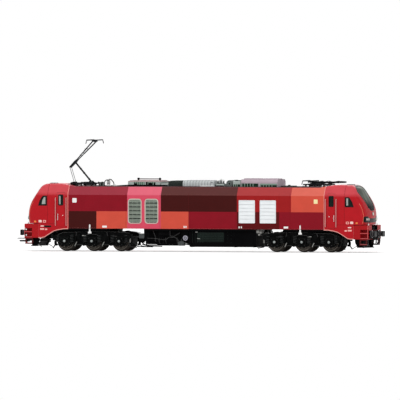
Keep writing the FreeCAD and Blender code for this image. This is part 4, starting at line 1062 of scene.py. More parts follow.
# pale line up the nose's corner, a painted highlight on its crease, through bends given as X and height
bends = [(124.2, 19.2), (124.7, 22.0), (124.9, 25.6), (124.1, 29.5), (122.9, 32.3), (121.4, 34.6)]
crease = []
for (x0, low), (x1, high) in zip(bends, bends[1:]):
    for part in (0.0, 0.25, 0.5, 0.75):
        x, height = x0 + (x1 - x0) * part, low + (high - low) * part
        crease.append((x, corner_y(x, height) + 0.03, height))
crease = pipes([crease], 0.15, "crease_highlight_pale", 0.05, 8).mirrored("y")
both_cabs(crease, "nose_crease_highlight", "crease_highlight_pale", slot="cab_paint")

# ---------------------------------------------------------------- running gear
PIVOT = 78.5
AXLE = 6.15             # axle centre above the rail
AXLES = (-20.4, 0.0, 20.4)
FRAME_SIDE = 13.2       # outside of the bogie's side plates
BOX_SIDE = FRAME_SIDE + 1.3     # outside of the axle boxes


def both_bogies(stock, name, finish, alike=False, stands_for=(), **options):
    """A piece made round a pivot's place, finished for each bogie: alike, or as mirror images."""
    placed = Stock().take(stock, Matrix.Translation((PIVOT, 0, 0)))
    other = Stock().take(stock, Matrix.Translation((-PIVOT, 0, 0))) if alike else placed.turned_end()
    for side, piece in (("left", other), ("right", placed)):
        nodes = [f"{node}_{side}" for node in stands_for]
        piece.finished(f"{name}_{side}", finish, f"bogie_{side}", stands_for=nodes, **options)


def shifted(points, x, height, side=1):
    """Points given from a centre, moved there and turned round by side -1."""
    return [(x + side * dx, height + dz) for dx, dz in points]


# gear case with ribs and screws under it, and a hump over each gear train
case = Stock().prism(symmetric([(6.6, 9.8), (6.6, 4.6), (5.6, 3.2)]), "x", -27.6, 27.6)
hump = symmetric([(6.4, 9.8), (6.4, 13.8), (4.8, 14.9)])
for x0, x1 in ((-16.8, -4.2), (4.2, 27.6)):
    case.prism(hump, "x", x0, x1)
RIB_PITCH = 6.1
rib = Stock().block(-24.6, -24.0, -6.0, 6.0, 3.05, 3.4)
case.take(rows(rib, "bogie_black", 9, (RIB_PITCH, 0, 0)))
screw = Stock().turned([(0, 2.9), (0.45, 2.9), (0.6, 3.0), (0.6, 3.3), (0, 3.3)], (-21.6, 0, 0), "z", 8)
case.take(rows(screw, "bogie_black", 8, (RIB_PITCH, 0, 0)))
both_bogies(case, "gear_case", "bogie_black", round_edges=0.15)

# axle boxes: domed cap, rims and four bolts each
caps, rims, bolts = Stock(), Stock(), Stock()
for x in AXLES:
    place = (x, BOX_SIDE, AXLE)
    caps.turned([(0, 0.88), (0.5, 0.86), (0.82, 0.74), (0.95, 0.5), (0.95, 0), (0, 0)], place)
    rims.turned([(0.97, 0), (0.97, 0.62), (1.7, 0.6), (1.92, 0.4), (2.1, 0)], place)
    outer = rounded(x - 3.0, x + 3.0, AXLE - 3.2, AXLE + 2.8, 0.8, 3)
    inner = rounded(x - 2.55, x + 2.55, AXLE - 2.75, AXLE + 2.35, 0.6, 3)
    rims.frame(outer, inner, "y", BOX_SIDE - 0.1, BOX_SIDE + 0.22)
    bolt = Stock().turned(bolt_head(0.22, 0.28, 0.35, 0.2, -0.1), (x - 2.0, BOX_SIDE, AXLE - 2.2), "y", 6)
    bolts.take(rows(bolt, "pipe_dark", 2, (4.0, 0, 0), 2, (0, 0, 4.0)))
both_bogies(caps.mirrored("y"), "axle_cap_domes", "cap_silver", stands_for=["axle_caps"])
both_bogies(rims.mirrored("y"), "axle_box_rims", "bogie_black", round_edges=0.05)
both_bogies(bolts.mirrored("y"), "axle_box_bolts", "pipe_dark")

# coil springs on both sides of each axle box
feet = [(x + dx, y * (FRAME_SIDE + 0.1), AXLE - 0.75) for x in AXLES for dx in (-5.2, 5.2) for y in (-1, 1)]
coils = springs(feet, "bogie_spring", radius=1.42, wire=0.24, height=5.2, turns=4.6)
both_bogies(coils, "bogie_springs", "bogie_spring", slot="bogie_black")

# brake shoes and their arms at each wheel, hangers between the axles and boxes on the frame
shoe = [(5.7, 1.2), (7.4, 0.9), (8.3, -0.6), (8.1, -2.4), (7.1, -3.5), (5.6, -3.2), (6.5, -1.9), (6.9, -0.4)]
arm = [(1.2, -2.6), (4.4, -1.4), (5.6, -2.3), (2.8, -3.7), (0.6, -3.6)]
hanger = [(-3.2, 6.6), (3.2, 6.6), (2.3, 3.3), (0.8, 2.9), (-1.6, 3.2), (-2.6, 4.4)]
gear = Stock()
for x in AXLES:
    for side in (-1, 1):
        gear.prism(shifted(shoe, x, AXLE, side), "y", 11.0, 12.7)
        gear.prism(shifted(arm, x, AXLE, side), "y", 13.0, 13.9)
for x in (-10.2, 10.2):
    gear.prism(shifted(hanger, x, 0), "y", 10.6, 12.2)
    gear.block(x - 1.1, x + 1.1, 13.1, 14.2, 7.2, 11.4)
# start, end, foot, top and outer face of each box
for x0, x1, low, high, out in ((-28.4, -24.6, 7.6, 10.8, 14.6), (25.0, 29.2, 6.6, 10.2, 14.6),
                               (-17.2, -14.0, 9.2, 12.3, 14.0), (3.9, 8.2, 11.0, 12.9, 14.2),
                               (-9.0, -3.2, 11.2, 12.9, 14.2), (13.2, 17.6, 9.8, 12.0, 13.9)):
    gear.prism(rounded(x0, x1, low, high, 0.35, 2), "y", 13.0, out)
both_bogies(gear.mirrored("y"), "brake_gear", "bogie_black", round_edges=0.08)

# air lines, dampers and their rods
lines = both_ways([
    [(-28.0, 13.6, 12.0), (-22.0, 13.7, 12.7), (-10.5, 13.7, 12.9), (0, 13.8, 13.2), (10.5, 13.7, 12.6),
     (22.0, 13.7, 12.1), (28.0, 13.6, 9.9)],
    [(-26.5, 11.8, 4.0), (-14.0, 12.4, 3.6), (14.0, 12.4, 3.6), (26.5, 11.8, 4.0)],
    [(-4.6, 13.7, 10.4), (-3.0, 14.3, 11.0), (3.4, 14.3, 11.0), (5.0, 13.7, 9.6)]])
dampers = [[(-27.0, 14.3, 9.0), (-19.0, 14.3, 9.6)]]
rods = [[(-19.2, 14.3, 9.6), (-15.4, 14.3, 9.9)]]
for x, lean in ((-12.6, 1.4), (12.6, -1.4)):
    dampers.append([(x, 14.2, 6.6), (x + lean * 0.6, 14.2, 10.0)])
    rods.append([(x + lean * 0.55, 14.2, 9.9), (x + lean, 14.2, 12.7)])
both_bogies(pipes(lines, 0.22, "pipe_dark", 0.8, 8), "bogie_pipes", "pipe_dark")
both_bogies(pipes(both_ways(dampers), 0.62, "bogie_black", 0.1, 12), "bogie_dampers", "bogie_black")
both_bogies(pipes(both_ways(rods), 0.3, "pipe_dark", 0.1, 8), "damper_rods", "pipe_dark")

# pale sand nozzles beside the wheels, their pale grey partly a painted highlight for the light strokes on
# them, pale fittings on the frame, and rail guards
nozzles = both_ways([[(x + 8.9, 13.4, 5.6), (x + 8.1, 13.4, 4.0), (x + 7.2, 12.6, 2.6)] for x in AXLES[:2]])
both_bogies(pipes(nozzles, 0.3, "nozzle_grey", 0.5, 10), "sand_nozzles", "nozzle_grey", alike=True,
            slot="cap_silver")
posts = [[(-28.4, 13.6, 8.1), (-28.5, 13.6, 5.3)], [(26.9, 13.6, 8.9), (26.8, 13.6, 6.8)]]
fittings = pipes(both_ways(posts), 0.34, "nozzle_grey", 0.2, 10)
fittings.take(Stock().prism(rounded(4.6, 7.2, 9.8, 10.4, 0.2, 2), "y", 13.9, 14.75).mirrored("y"))
both_bogies(fittings, "frame_fittings", "nozzle_grey", slot="cap_silver")
guards = both_ways([[(28.4, 9.4, 5.6), (29.2, 9.0, 3.0), (30.8, 8.6, 0.9)],
                    [(-28.6, 12.2, 5.6), (-31.4, 12.0, 3.4), (-34.0, 11.6, 2.4)]])
both_bogies(pipes(guards, 0.42, "bogie_black", 0.8, 8), "rail_guards", "bogie_black")
stays = both_ways([[(-48.8, 11.9, 3.6), (-44.5, 11.7, 2.35), (-33.6, 11.2, 2.2)]])
pipes(stays, 0.34, "bogie_black", 0.8, 8).finished("guard_stays", "bogie_black", "bogie_left")

# bright tyre edges, rings and spokes turn with the wheels
SPOKES = 9
WHEEL_SIDE = 10.05      # outside of the wheels
for number, x in enumerate([end + dx for end in (-PIVOT, PIVOT) for dx in AXLES], 1):
    place = (x, 0, AXLE)
    tyre = Stock()
    for inner, outer in ((5.55, 5.95), (4.55, 4.75), (2.3, 2.5)):
        tyre.turned(hoop(inner, outer, WHEEL_SIDE - 0.25, WHEEL_SIDE + 0.05), place, "y", 40)
    tyre.mirrored("y")
    spoke = Stock().prism(symmetric([(0.28, 2.2), (0.2, 4.8)]), "y", 9.3, 9.75).mirrored("y")
    for turn in range(SPOKES):
        tyre.take(spoke, Matrix.Translation(place) @ Matrix.Rotation(math.tau * turn / SPOKES, 4, "Y"))
    tyre.finished(f"wheel_tyres_{number}", "tyre_steel", f"axle_{number}", slot="wheel_steel")

# ---------------------------------------------------------------- under the floor
# ribs along the sills, the dark undersides of the cabs, and black linings inside the skirts that are painted
# shade
rib = Stock().on_sides(-36.5, -36.1, 16.2, 16.38, 14.0, 15.1)
rows(rib, "chassis_black", 14, (6.1, 0, 0)).finished("sill_ribs", "chassis_black")
dark = Stock().block(96.2, 117.6, -14.6, 14.6, 13.4, 15.3).block(108.6, 117.4, -13.6, 13.6, 11.2, 13.6)
# painted shade: a black sheet inside each skirt darkens its red inner face
shade_lining = end_outline(skirt_line) + [(ahead(BUMPER_BACK), 15.6), (SEAM + 0.2, 15.6)]
dark.take(Stock().prism(shade_lining, "y", SIDE - 1.18, SIDE - 1.04).mirrored("y"))
both_cabs(dark, "cab_undersides_and_shade_linings", "chassis_black", round_edges=0.1)

# fuel tank: straps round it, then a ribbed cover, a ribbed end and pale plates on each side
TANK_SIDE = 14.5
straps = Stock()
outer, inner = [(14.75, 15.2), (14.75, 4.7), (12.1, 2.15)], [(-14.5, 15.2), (-14.5, 4.9), (-12.0, 2.4)]
for x in (-4.6, 27.6, 41.6):
    straps.prism(symmetric(outer) + symmetric(inner), "x", x - 0.35, x + 0.35)
straps.finished("tank_straps", "chassis_black", round_edges=0.06)
cover = Stock().prism(rounded(0.3, 20.4, 5.9, 12.9, 0.4, 3), "y", TANK_SIDE - 0.1, TANK_SIDE + 0.18)
rib = Stock().block(1.0, 19.8, TANK_SIDE + 0.1, TANK_SIDE + 0.32, 7.2, 7.42)
cover.take(rows(rib, "roof_dark", 5, (0, 0, 1.2)))
rib = Stock().block(-3.2, -2.9, TANK_SIDE, TANK_SIDE + 0.22, 5.4, 13.6)
cover.take(rows(rib, "roof_dark", 5, (1.9, 0, 0)))
bolt = Stock().turned(bolt_head(0.2, 0.26, TANK_SIDE + 0.4, TANK_SIDE + 0.2, TANK_SIDE - 0.1),
                      (23.2, 0, 5.6), "y", 6)
cover.take(rows(bolt, "roof_dark", 2, (2.6, 0, 0), 4, (0, 0, 2.5)))
along_sides(cover, "tank_covers", "tank_green", slot="chassis_black", round_edges=0.05)
plates = Stock()
for x0, x1, low, high in ((-0.9, 0.7, 12.7, 13.3), (0.4, 2.4, 8.1, 8.6)):
    plates.prism(rounded(x0, x1, low, high, 0.12, 2), "y", TANK_SIDE, TANK_SIDE + 0.36)
along_sides(plates, "tank_plates", "nozzle_grey", slot="chassis_black")
filler = Stock().block(44.3, 48.4, 8.0, 12.2, 12.2, 15.3)
for x, height, radius in ((45.3, 13.6, 1.3), (47.5, 12.9, 0.9), (46.4, 11.3, 0.7)):
    neck = radius * 0.75
    lid = [(0, 14.5), (radius * 0.5, 14.45), (radius, 14.1), (radius, 12.5), (neck, 12.3), (neck, 8), (0, 8)]
    filler.turned(lid, (x, 0, height), "y", 18)
along_sides(filler, "tank_fillers", "nozzle_grey", slot="chassis_black", round_edges=0.08)

# battery box, air equipment and their pipes
case = [(-39.9, 15.2), (-39.9, 8.6), (-39.2, 6.4), (-37.4, 5.2), (-35.8, 5.2), (-35.8, 15.2)]
boxes = Stock().prism(case, "y", 12.0, 13.2)
rib = Stock().block(-37.0, -36.4, 12.5, 13.5, 9.6, 14.9)
boxes.take(rows(rib, "chassis_black", 5, (1.5, 0, 0)))
# start, end, foot, top and outer face of each box
for x0, x1, low, high, out in ((-29.0, -20.6, 10.4, 14.6, 13.7), (-19.4, -13.2, 9.8, 13.6, 13.4),
                               (-29.6, -25.0, 8.6, 9.9, 13.6)):
    boxes.prism(rounded(x0, x1, low, high, 0.4, 2), "y", 12.4, out)
rib = Stock().block(-28.4, -21.2, 13.6, 13.85, 11.1, 11.35)
boxes.take(rows(rib, "chassis_black", 4, (0, 0, 0.9)))
along_sides(boxes, "underfloor_boxes", "chassis_black", round_edges=0.08)
runs = both_ways([
    [(-37.2, 13.4, 8.4), (-30.0, 13.6, 8.2), (-28.0, 13.6, 7.6), (-23.0, 13.6, 7.6), (-21.0, 13.4, 9.2),
     (-16.0, 13.8, 9.0), (-13.5, 13.6, 6.4), (-13.0, 12.6, 4.6)],
    [(-33.0, 13.7, 14.2), (-31.0, 13.9, 9.2), (-31.0, 13.4, 6.0)],
    [(-20.2, 13.6, 14.6), (-20.2, 13.9, 10.2), (-17.4, 13.9, 9.7), (-12.8, 13.9, 12.4)]])
pipes(runs, 0.3, "pipe_dark", 1.2, 8).finished("underfloor_pipes", "pipe_dark")
bands = Stock()
for x in (-37.4, -28.8, -24.0, -15.4):
    bands.turned(hoop(2.66, 2.9, x, x + 0.6), (0, 10.2, 7.2), "x")
along_sides(bands, "vessel_bands", "pipe_dark")
case = [(-43.2, 8.5), (-42.6, 6.4), (-41.0, 5.2), (-39.8, 5.2), (-39.8, 8.5)]
boxes = Stock().prism(case, "y", 10.8, 13.2)
along_sides(boxes, "underfloor_end_boxes", "chassis_black", round_edges=0.12)
greys = Stock().prism(rounded(-43.4, -39.6, 8.3, 11.8, 0.4, 3), "y", 10.8, 13.6)
greys.prism(rounded(-14.4, -10.0, 3.1, 6.2, 0.5, 3), "y", 9.6, 13.4)
greys.block(-12.6, -11.4, 11.0, 12.2, 6.0, 8.0)
along_sides(greys, "underfloor_grey_boxes", "box_grey", slot="chassis_black", round_edges=0.12)

# air drier in front of its dark cabinet
DRIER = (-8.6, 0, 8.7)
cabinet = Stock().block(-11.5, -6.5, -14.2, 14.2, 6.9, 15.2).on_sides(-10.9, -7.1, 14.1, 14.5, 11.2, 14.2)
cabinet.finished("drier_cabinet", "chassis_black", round_edges=0.15, stands_for=["grey_box"])
drier = Stock().turned([(0, 14.62), (0.8, 14.62), (0.85, 14.5), (1.35, 14.55), (1.85, 14.35), (2.0, 14.1),
                        (2.0, 13.9), (0, 13.9)], DRIER, "y", 8)
along_sides(drier, "drier_vessels", "box_lilac", round_edges=0.05)
ring_line = Stock().turned([(0.55, 14.6), (0.85, 14.72), (1.1, 14.6), (0.85, 14.5)], DRIER, "y", 18)
along_sides(ring_line, "drier_rings", "bogie_spring", slot="pipe_dark")

# ---------------------------------------------------------------- front ends
FACE = 128.6            # front of the bumper
BUFFER_SIDE = 10.06     # middle of the vehicle to a buffer's axis
BUFFER_HEIGHT = 12.1

# bumpers with their hanging steps cut through to open frames
cad_bumper = plain_mesh(frame["nodes"]["bumper_right"])
shell = Stock().take(cad_bumper, Matrix.Translation((0, 0, -FLANGE)) @ Matrix.Scale(1 / MM, 4))
# back, front and half width of the openings
for back, front, reach in ((120.9, 129.0, 1.1), (122.9, 127.0, 2.6)):
    openings = Stock()
    for y in (-14.6, 14.6):
        openings.block(back, front, y - reach, y + reach, 4.8, 7.5)
    shell = shell.carved(openings)
both_cabs(shell, "bumper_shells", "bumper_red", stands_for=["bumper"])

# dark panel behind the buffers, the well of the drawgear with its lining, and the cocks of its pipes
WELL_BACK, WELL_SIDE = 124.62, 6.95
panel = Stock().prism(rounded(-13.3, 13.3, 8.7, 14.8, 0.6, 3), "x", FACE - 0.2, FACE + 0.28)
panel.block(WELL_BACK, FACE - 0.1, -WELL_SIDE, WELL_SIDE, 14.92, 15.1)
panel.block(WELL_BACK, WELL_BACK + 0.23, -WELL_SIDE, WELL_SIDE, 14.95, 18.35)
for y in (-WELL_SIDE, WELL_SIDE - 0.2):
    panel.block(WELL_BACK, FACE - 0.05, y, y + 0.2, 14.95, 18.2)
panel.block(WELL_BACK + 0.18, 127.8, -2.2, 2.2, 15.1, 17.0)
panel.block(WELL_BACK + 0.18, 127.0, 3.4, 5.6, 15.1, 17.6)
both_cabs(panel, "beam_panels", "chassis_black", round_edges=0.06)
claw = [(0.2, 10.9), (1.6, 10.9), (2.5, 11.4), (2.7, 12.6), (2.1, 13.3), (1.7, 12.9), (2.0, 12.3),
        (1.4, 11.9), (0.2, 12.3)]
hook = Stock().prism([(FACE + dx, height) for dx, height in claw], "y", -0.45, 0.45)
hook.prism(rounded(-1.6, 1.6, 10.2, 13.0, 0.3, 2), "x", FACE + 0.2, FACE + 0.55)
bolt = Stock().turned(bolt_head(0.25, 0.32, 0.52, 0.3, 0), (FACE, -12.3, 9.5), "x", 6)
hook.take(rows(bolt, "buffer_black", 2, (0, 24.6, 0), 2, (0, 0, 4.6)))
both_cabs(hook, "draw_hooks", "buffer_black", round_edges=0.08)
cocks = Stock()
handle = [(0, 0.95), (0.3, 0.9), (0.36, 0.6), (0.22, 0.2), (0, 0.2)]
for y, height in ((7.7, 14.3), (7.9, 9.6), (-7.7, 14.3), (-7.9, 9.6)):
    cocks.turned(handle, (FACE, y, height), "x", 10)
for y in (-10.4, 10.4):
    cocks.prism([(y - 0.9, 17.7), (y + 0.9, 17.7), (y + 0.5, 19.6), (y - 0.5, 19.6)], "x", 127.0, 127.5)
both_cabs(cocks, "cock_handles", "plate_white", slot="rail_pale", round_edges=0.05)

# pale edges of the steps and the bumper's corner, partly worn paint and partly painted highlight, and knobs
# at the coupling's end
treads = Stock()
for low in (8.95, 12.5):
    treads.block(122.8, 128.0, 14.9, 16.28, low, low + 0.22)
treads.block(122.9, 127.5, 15.0, 16.18, 4.75, 4.95)
treads.block(117.68, 117.86, 16.1, 16.32, 8.5, 18.2)
treads.turned(disc(0.16, 8.6, 18.1), (128.22, 15.84, 0), "z", 8)
both_cabs(treads.mirrored("y"), "step_edges_worn_and_highlit", "tread_wear_and_highlight", slot="bumper_red")
knobs = Stock()
knob = [(0, 16.62), (0.35, 16.6), (0.5, 16.45), (0.5, 16.1), (0, 16.1)]
for height in (14.3, 10.4):
    knobs.turned(knob, (-126.9, 0, height), "y", 12)
along_sides(knobs, "step_knobs", "plate_white", slot="rail_pale")

# curved cheeks and the turned-out lower lip of the ploughs, and the rods in front of the wheels
TIP, REACH, WING = 125.3, 2.6, 3.7      # of the lip: its point, its depth and its sweep
cheeks = Stock().prism([(117.8, 8.4), (117.9, 6.2), (118.6, 4.4), (119.8, 3.1), (121.4, 2.5), (123.6, 2.4),
                        (123.6, 8.4)], "y", 12.7, 13.25).mirrored("y")
lip = [(TIP - WING, 13.2), (TIP + REACH - WING * 0.6, 9.0), (TIP + REACH, 1.2)]
notch = [(TIP - WING - 1.0, -13.2), (TIP - 1.4, 0), (TIP - WING - 1.0, 13.2)]
cheeks.prism(lip + [(x, -y) for x, y in reversed(lip)] + notch, "z", 2.32, 2.75)
both_cabs(cheeks, "plough_cheeks", "chassis_black", round_edges=0.1)
hangers = pipes(both_ways([[(115.9, 12.6, 1.6), (119.4, 12.6, 3.7)]]), 0.24, "nozzle_grey", 0.1, 8)
both_cabs(hangers, "guard_rods", "nozzle_grey", slot="pipe_dark")

# collars round the buffers' stocks
collars = Stock()
for inner, outer, start, end in ((1.72, 2.05, 0.45, 0.95), (1.7, 1.95, 1.85, 2.25)):
    collars.turned(hoop(inner, outer, FACE + start, FACE + end), (0, BUFFER_SIDE, BUFFER_HEIGHT), "x")
both_cabs(collars.mirrored("y"), "buffer_collars", "buffer_grey", slot="buffer_black")

# brake hoses hang in loops from the beam, each with its coupling head
loops, heads = [], Stock()
for y, out, foot in ((5.2, 131.2, 5.0), (6.7, 130.2, 5.6)):
    for side in (-1, 1):
        loops.append([(127.2, side * y, 9.6), (out - 1.0, side * y, 9.5), (out, side * (y + 0.1), 8.0),
                      (out - 0.3, side * y, foot), (out - 2.4, side * (y - 1.4), foot + 0.2),
                      (out - 2.0, side * (y - 1.9), 8.3)])
        head = rounded(out - 2.5, out - 1.5, 7.7, 9.1, 0.3, 3)
        heads.prism(head, "y", *sorted((side * (y - 2.3), side * (y - 1.5))))
        heads.turned(disc(0.62, 127.2, 128.4), (0, side * y, 9.6), "x", 6)
hoses = pipes(loops, 0.22, "hose_black", 1.0, 10)
hoses.finished("brake_hoses", "hose_black", stands_for=["brake_hoses_right"])
heads.finished("hose_heads", "chassis_black", slot="hose_black", round_edges=0.06)

# ---------------------------------------------------------------- roof equipment
LOUVRE_FOOT = 45.3      # lower edge of the louvres in the roof boxes' sides


def fins_along(x0, x1, wide, low, high, pitch, width):
    """Upright fins at an even pitch on both long sides of a roof box."""
    fin = Stock().on_sides(x0, x0 + width, wide - 0.2, wide + 0.28, low, high)
    return rows(fin, "fin_green", int((x1 - x0) / pitch), (pitch, 0, 0))


# brake resistor: grey green side panels over a dark foot, with a slotted top
BAR_PITCH = 0.9
x0, x1, wide, low, top = extent("brake_resistor")
feet = Stock().on_sides(x0 - 0.4, x1 + 5.6, wide - 0.3, wide + 0.36, LOUVRE_FOOT, 46.6)
feet.block(x0 - 6.8, x0 + 0.1, -9.6, 9.6, LOUVRE_FOOT, 46.2)
feet.on_sides(x0 + 0.2, x1 - 0.2, wide - 0.3, wide + 0.04, LOUVRE_FOOT, 48.4)
for start, end, high in ((x0 + 5.0, x0 + 6.8, 47.6), (x0 + 13.4, x0 + 14.6, 48.6),
                         (x0 + 15.2, x0 + 18.4, 48.0), (x1 - 4.6, x1 - 3.4, 47.8)):
    feet.on_sides(start, end, wide - 0.2, wide + 0.5, 46.4, high)
feet.block(x0 + 0.8, x1 - 0.8, -9.3, 9.3, top - 0.1, top + 0.06)
feet.finished("resistor_openings", "chassis_black", slot="roof_dark")
fins = fins_along(x0 + 5.0, x1 - 3.6, wide, 46.3, 48.5, 1.5, 1.1)
fins.finished("resistor_fins", "fin_green", slot="roof_grey")
panels = Stock()
for start, end in ((x0, x0 + 4.4), (x0 + 12.4, x0 + 13.8), (x1 - 3.4, x1)):
    panels.on_sides(start, end, wide - 0.2, wide + 0.34, 46.4, 48.5)
panels.finished("resistor_panels", "roof_grey", round_edges=0.05)
cap = Stock().on_sides(x0 - 0.1, x1 + 0.1, wide - 0.4, wide + 0.3, 48.7, 49.0)
cap.block(x1 - 0.1, x1 + 0.2, -wide - 0.2, wide + 0.2, 48.7, 49.0)
bar = Stock().block(x0 + 1.0, x0 + 1.3, -9.3, 9.3, top, top + 0.3)
cap.take(rows(bar, "roof_lilac", int((x1 - x0 - 2) / BAR_PITCH), (BAR_PITCH, 0, 0)))
for y in (-9.3, -0.15, 9.0):
    cap.block(x0 + 0.8, x1 - 0.8, y, y + 0.3, top, top + 0.34)
cap.finished("resistor_cap", "cap_pink", slot="roof_grey", round_edges=0.04)

# dark louvred box
x0, x1, wide, low, top = extent("louvred_box")
slat = [(wide - 0.1, 45.7), (wide + 0.35, 45.7), (wide + 0.1, 46.2), (wide - 0.1, 46.2)]
slat = Stock().prism(slat, "x", x0 + 0.3, x1 - 0.3).mirrored("y")
slats = rows(slat, "roof_dark", 4, (0, 0, 0.8))
bar = Stock().block(x0 + 0.8, x0 + 1.1, -9.2, 9.2, top - 0.1, top + 0.25)
slats.take(rows(bar, "roof_dark", int((x1 - x0 - 1.4) / BAR_PITCH), (BAR_PITCH, 0, 0)))
slats.finished("louvre_slats", "roof_dark", round_edges=0.04)

# bands and joints over the ribbed fairing, with a pale foot board
BAND_PITCH = 2.2
BAND_DEPTH = 0.25
BEVEL = 1.4             # of the fairing's upper edges
x0, x1, wide, low, top = extent("ribbed_fairing")


def band_outline(proud):
    """Cross-section of a band that follows the fairing's sides and top."""
    side, crown = wide + proud, top + proud
    outer = [(side, low), (side, top - BEVEL), (wide - BEVEL, crown)]
    inner = [(BAND_DEPTH - side, low), (BAND_DEPTH - side, top - BEVEL), (BEVEL - wide, crown - BAND_DEPTH)]
    return symmetric(outer) + symmetric(inner)


count = int((x1 - x0) / BAND_PITCH)
band = Stock().prism(band_outline(0.16), "x", x0 + 0.2, x0 + 0.9)
bands = rows(band, "roof_pale", count, (BAND_PITCH, 0, 0))
bands.finished("fairing_hoops", "roof_pale", slot="roof_grey", round_edges=0.06)
joint = Stock().prism(band_outline(0.05), "x", x0 + 0.95, x0 + 1.2)
joints = rows(joint, "fairing_joint", count, (BAND_PITCH, 0, 0))
joints.finished("fairing_joints", "fairing_joint", slot="roof_dark")
boards = Stock().on_sides(1.6, x1 + 0.6, wide, wide + 0.5, 45.4, 46.1)
boards.finished("fairing_boards", "plate_white", slot="roof_grey", round_edges=0.05)
grips = Stock().on_sides(x1 - 1.9, x1 - 0.6, wide, wide + 0.3, 48.3, 48.6)
grips.finished("fairing_grips", "roof_dark")

# silencer, drum and the valves in front of them
x0, x1, wide, low, top = extent("silencer_housing")
openings = Stock().on_sides(x0 + 0.2, x1 - 0.2, wide - 0.3, wide + 0.05, LOUVRE_FOOT, 47.2)
openings.finished("silencer_openings", "louvre_green", slot="roof_dark")
fins = fins_along(x0 + 0.3, x1, wide, LOUVRE_FOOT, 47.3, 1.3, 0.5)
fins.finished("silencer_fins", "fin_green", slot="roof_dark")
outlets = Stock()
for y in (-7.0, 7.0):
    rim = rounded(x0 + 0.9, x1 - 0.9, y - 1.6, y + 1.6, 0.5, 3)
    mouth = rounded(x0 + 1.3, x1 - 1.3, y - 1.2, y + 1.2, 0.3, 3)
    outlets.frame(rim, mouth, "z", top - 0.1, top + 0.6)
    outlets.block(x0 + 1.2, x1 - 1.2, y - 1.3, y + 1.3, top - 0.1, top + 0.1)
outlets.finished("exhaust_outlets", "roof_dark", round_edges=0.05)
x0, x1, wide, low, top = extent("exhaust_drum")
radius = (x1 - x0) / 2
place = ((x0 + x1) / 2, 0, top - radius)
bands = Stock()
for y in (-9.3, -6.2, -3.2, 2.9, 5.9, 9.0):
    bands.turned(hoop(radius - 0.05, radius + 0.14, y, y + 0.3), place, "y", 32)
bands.finished("drum_bands", "roof_dark")
hub = [(0, wide + 0.3), (0.5, wide + 0.3), (0.7, wide + 0.1), (0.7, wide - 0.1), (0, wide - 0.1)]
hubs = Stock().turned(hub, place, "y", 16)
hubs.turned(hoop(1.5, 1.7, wide - 0.1, wide + 0.12), place, "y", 32)
along_sides(hubs, "drum_hubs", "roof_dark")
VALVE_FOOT = 47.3
valves, stems = Stock(), Stock()
for x, y, radius, tip in ((13.2, -5.8, 0.9, 50.4), (15.4, -5.2, 0.8, 51.2), (17.2, -6.0, 0.7, 50.6),
                          (16.4, -2.2, 0.9, 49.6), (14.0, 5.4, 0.8, 50.0), (17.0, 4.6, 0.6, 49.2)):
    valves.turned([(0, tip), (radius * 0.6, tip - 0.1), (radius, tip - 0.5), (radius, tip - 1.0),
                   (radius * 0.5, tip - 1.3), (0, tip - 1.3)], (x, y, 0), "z", 14)
    stems.turned(disc(radius * 0.45, VALVE_FOOT, tip - 1.2), (x, y, 0), "z", 12)
stems.block(12.6, 18.0, -6.6, -4.4, VALVE_FOOT, VALVE_FOOT + 0.6)
stems.on_sides(12.1, 18.5, 7.9, 8.2, 45.25, 46.3)
valves.finished("roof_valves", "plate_white", slot="roof_grey")
stems.finished("valve_stems", "chassis_black", slot="roof_dark")

# radiator: two louvred fields in each side and two fans with guards on top
FAN_OFFSET, FAN_BLADES = 7.1, 9
FIN_PITCH, FIN_WIDTH = 2.1, 0.55
x0, x1, wide, low, top = extent("radiator")
middle = (x0 + x1) / 2
openings = Stock().on_sides(x0 + 0.3, middle - 0.6, wide - 0.3, wide + 0.06, LOUVRE_FOOT, 47.9)
openings.on_sides(middle + 0.8, x1 - 0.3, wide - 0.3, wide + 0.06, LOUVRE_FOOT, 46.8)
openings.finished("radiator_openings", "louvre_green", slot="roof_dark")
boards = Stock().on_sides(middle + 0.8, x1 - 0.3, wide - 0.3, wide + 0.1, 46.8, 47.8)
boards.finished("radiator_boards", "fin_green", slot="roof_dark")
fins = fins_along(x0 + 0.5, middle - 0.8, wide, LOUVRE_FOOT, 47.9, FIN_PITCH, FIN_WIDTH)
fins.take(fins_along(middle + 1.0, x1 - 0.4, wide, LOUVRE_FOOT, 46.9, FIN_PITCH, FIN_WIDTH))
fins.finished("radiator_fins", "fin_green", slot="roof_dark")
wells, blades, guards = Stock(), Stock(), Stock()
# a blade twists from its lower edge to its upper one
lower = [(1.6, -0.9, 0), (6.3, -1.5, 0), (6.3, 1.4, 0.25), (1.6, 0.8, 0.25)]
upper = [(x, y, height + 0.06) for x, y, height in lower]
blade = Stock().faces(lower + upper, [(3, 2, 1, 0), (4, 5, 6, 7)] + belt(0, 4, 4))
spoke = Stock().block(0.8, 6.8, -0.14, 0.14, 0.4, 0.52)
for x in (middle - FAN_OFFSET, middle + FAN_OFFSET):
    centre = (x, 0, top)
    wells.turned(disc(6.6, -0.1, 0.05), centre, "z", 40)
    guards.turned([(6.5, -0.05), (7.0, -0.05), (6.95, 0.45), (6.6, 0.55)], centre, "z", 40)
    blades.turned([(0, 0.35), (1.4, 0.32), (1.7, 0.05), (0, 0.05)], centre, "z", 24)
    for number in range(FAN_BLADES):
        turn = Matrix.Translation(centre) @ Matrix.Rotation(math.tau * number / FAN_BLADES, 4, "Z")
        blades.take(blade, turn @ Matrix.Translation((0, 0, 0.06)))
        guards.take(spoke, turn)
    for radius in (0.9, 2.4, 3.9, 5.4):
        guards.turned(hoop(radius, radius + 0.2, 0.4, 0.54), centre, "z", 32)
wells.finished("fan_wells", "louvre_green", slot="roof_dark")
blades.finished("fan_blades", "roof_dark")
guards.finished("fan_guards", "roof_lilac", slot="roof_grey")

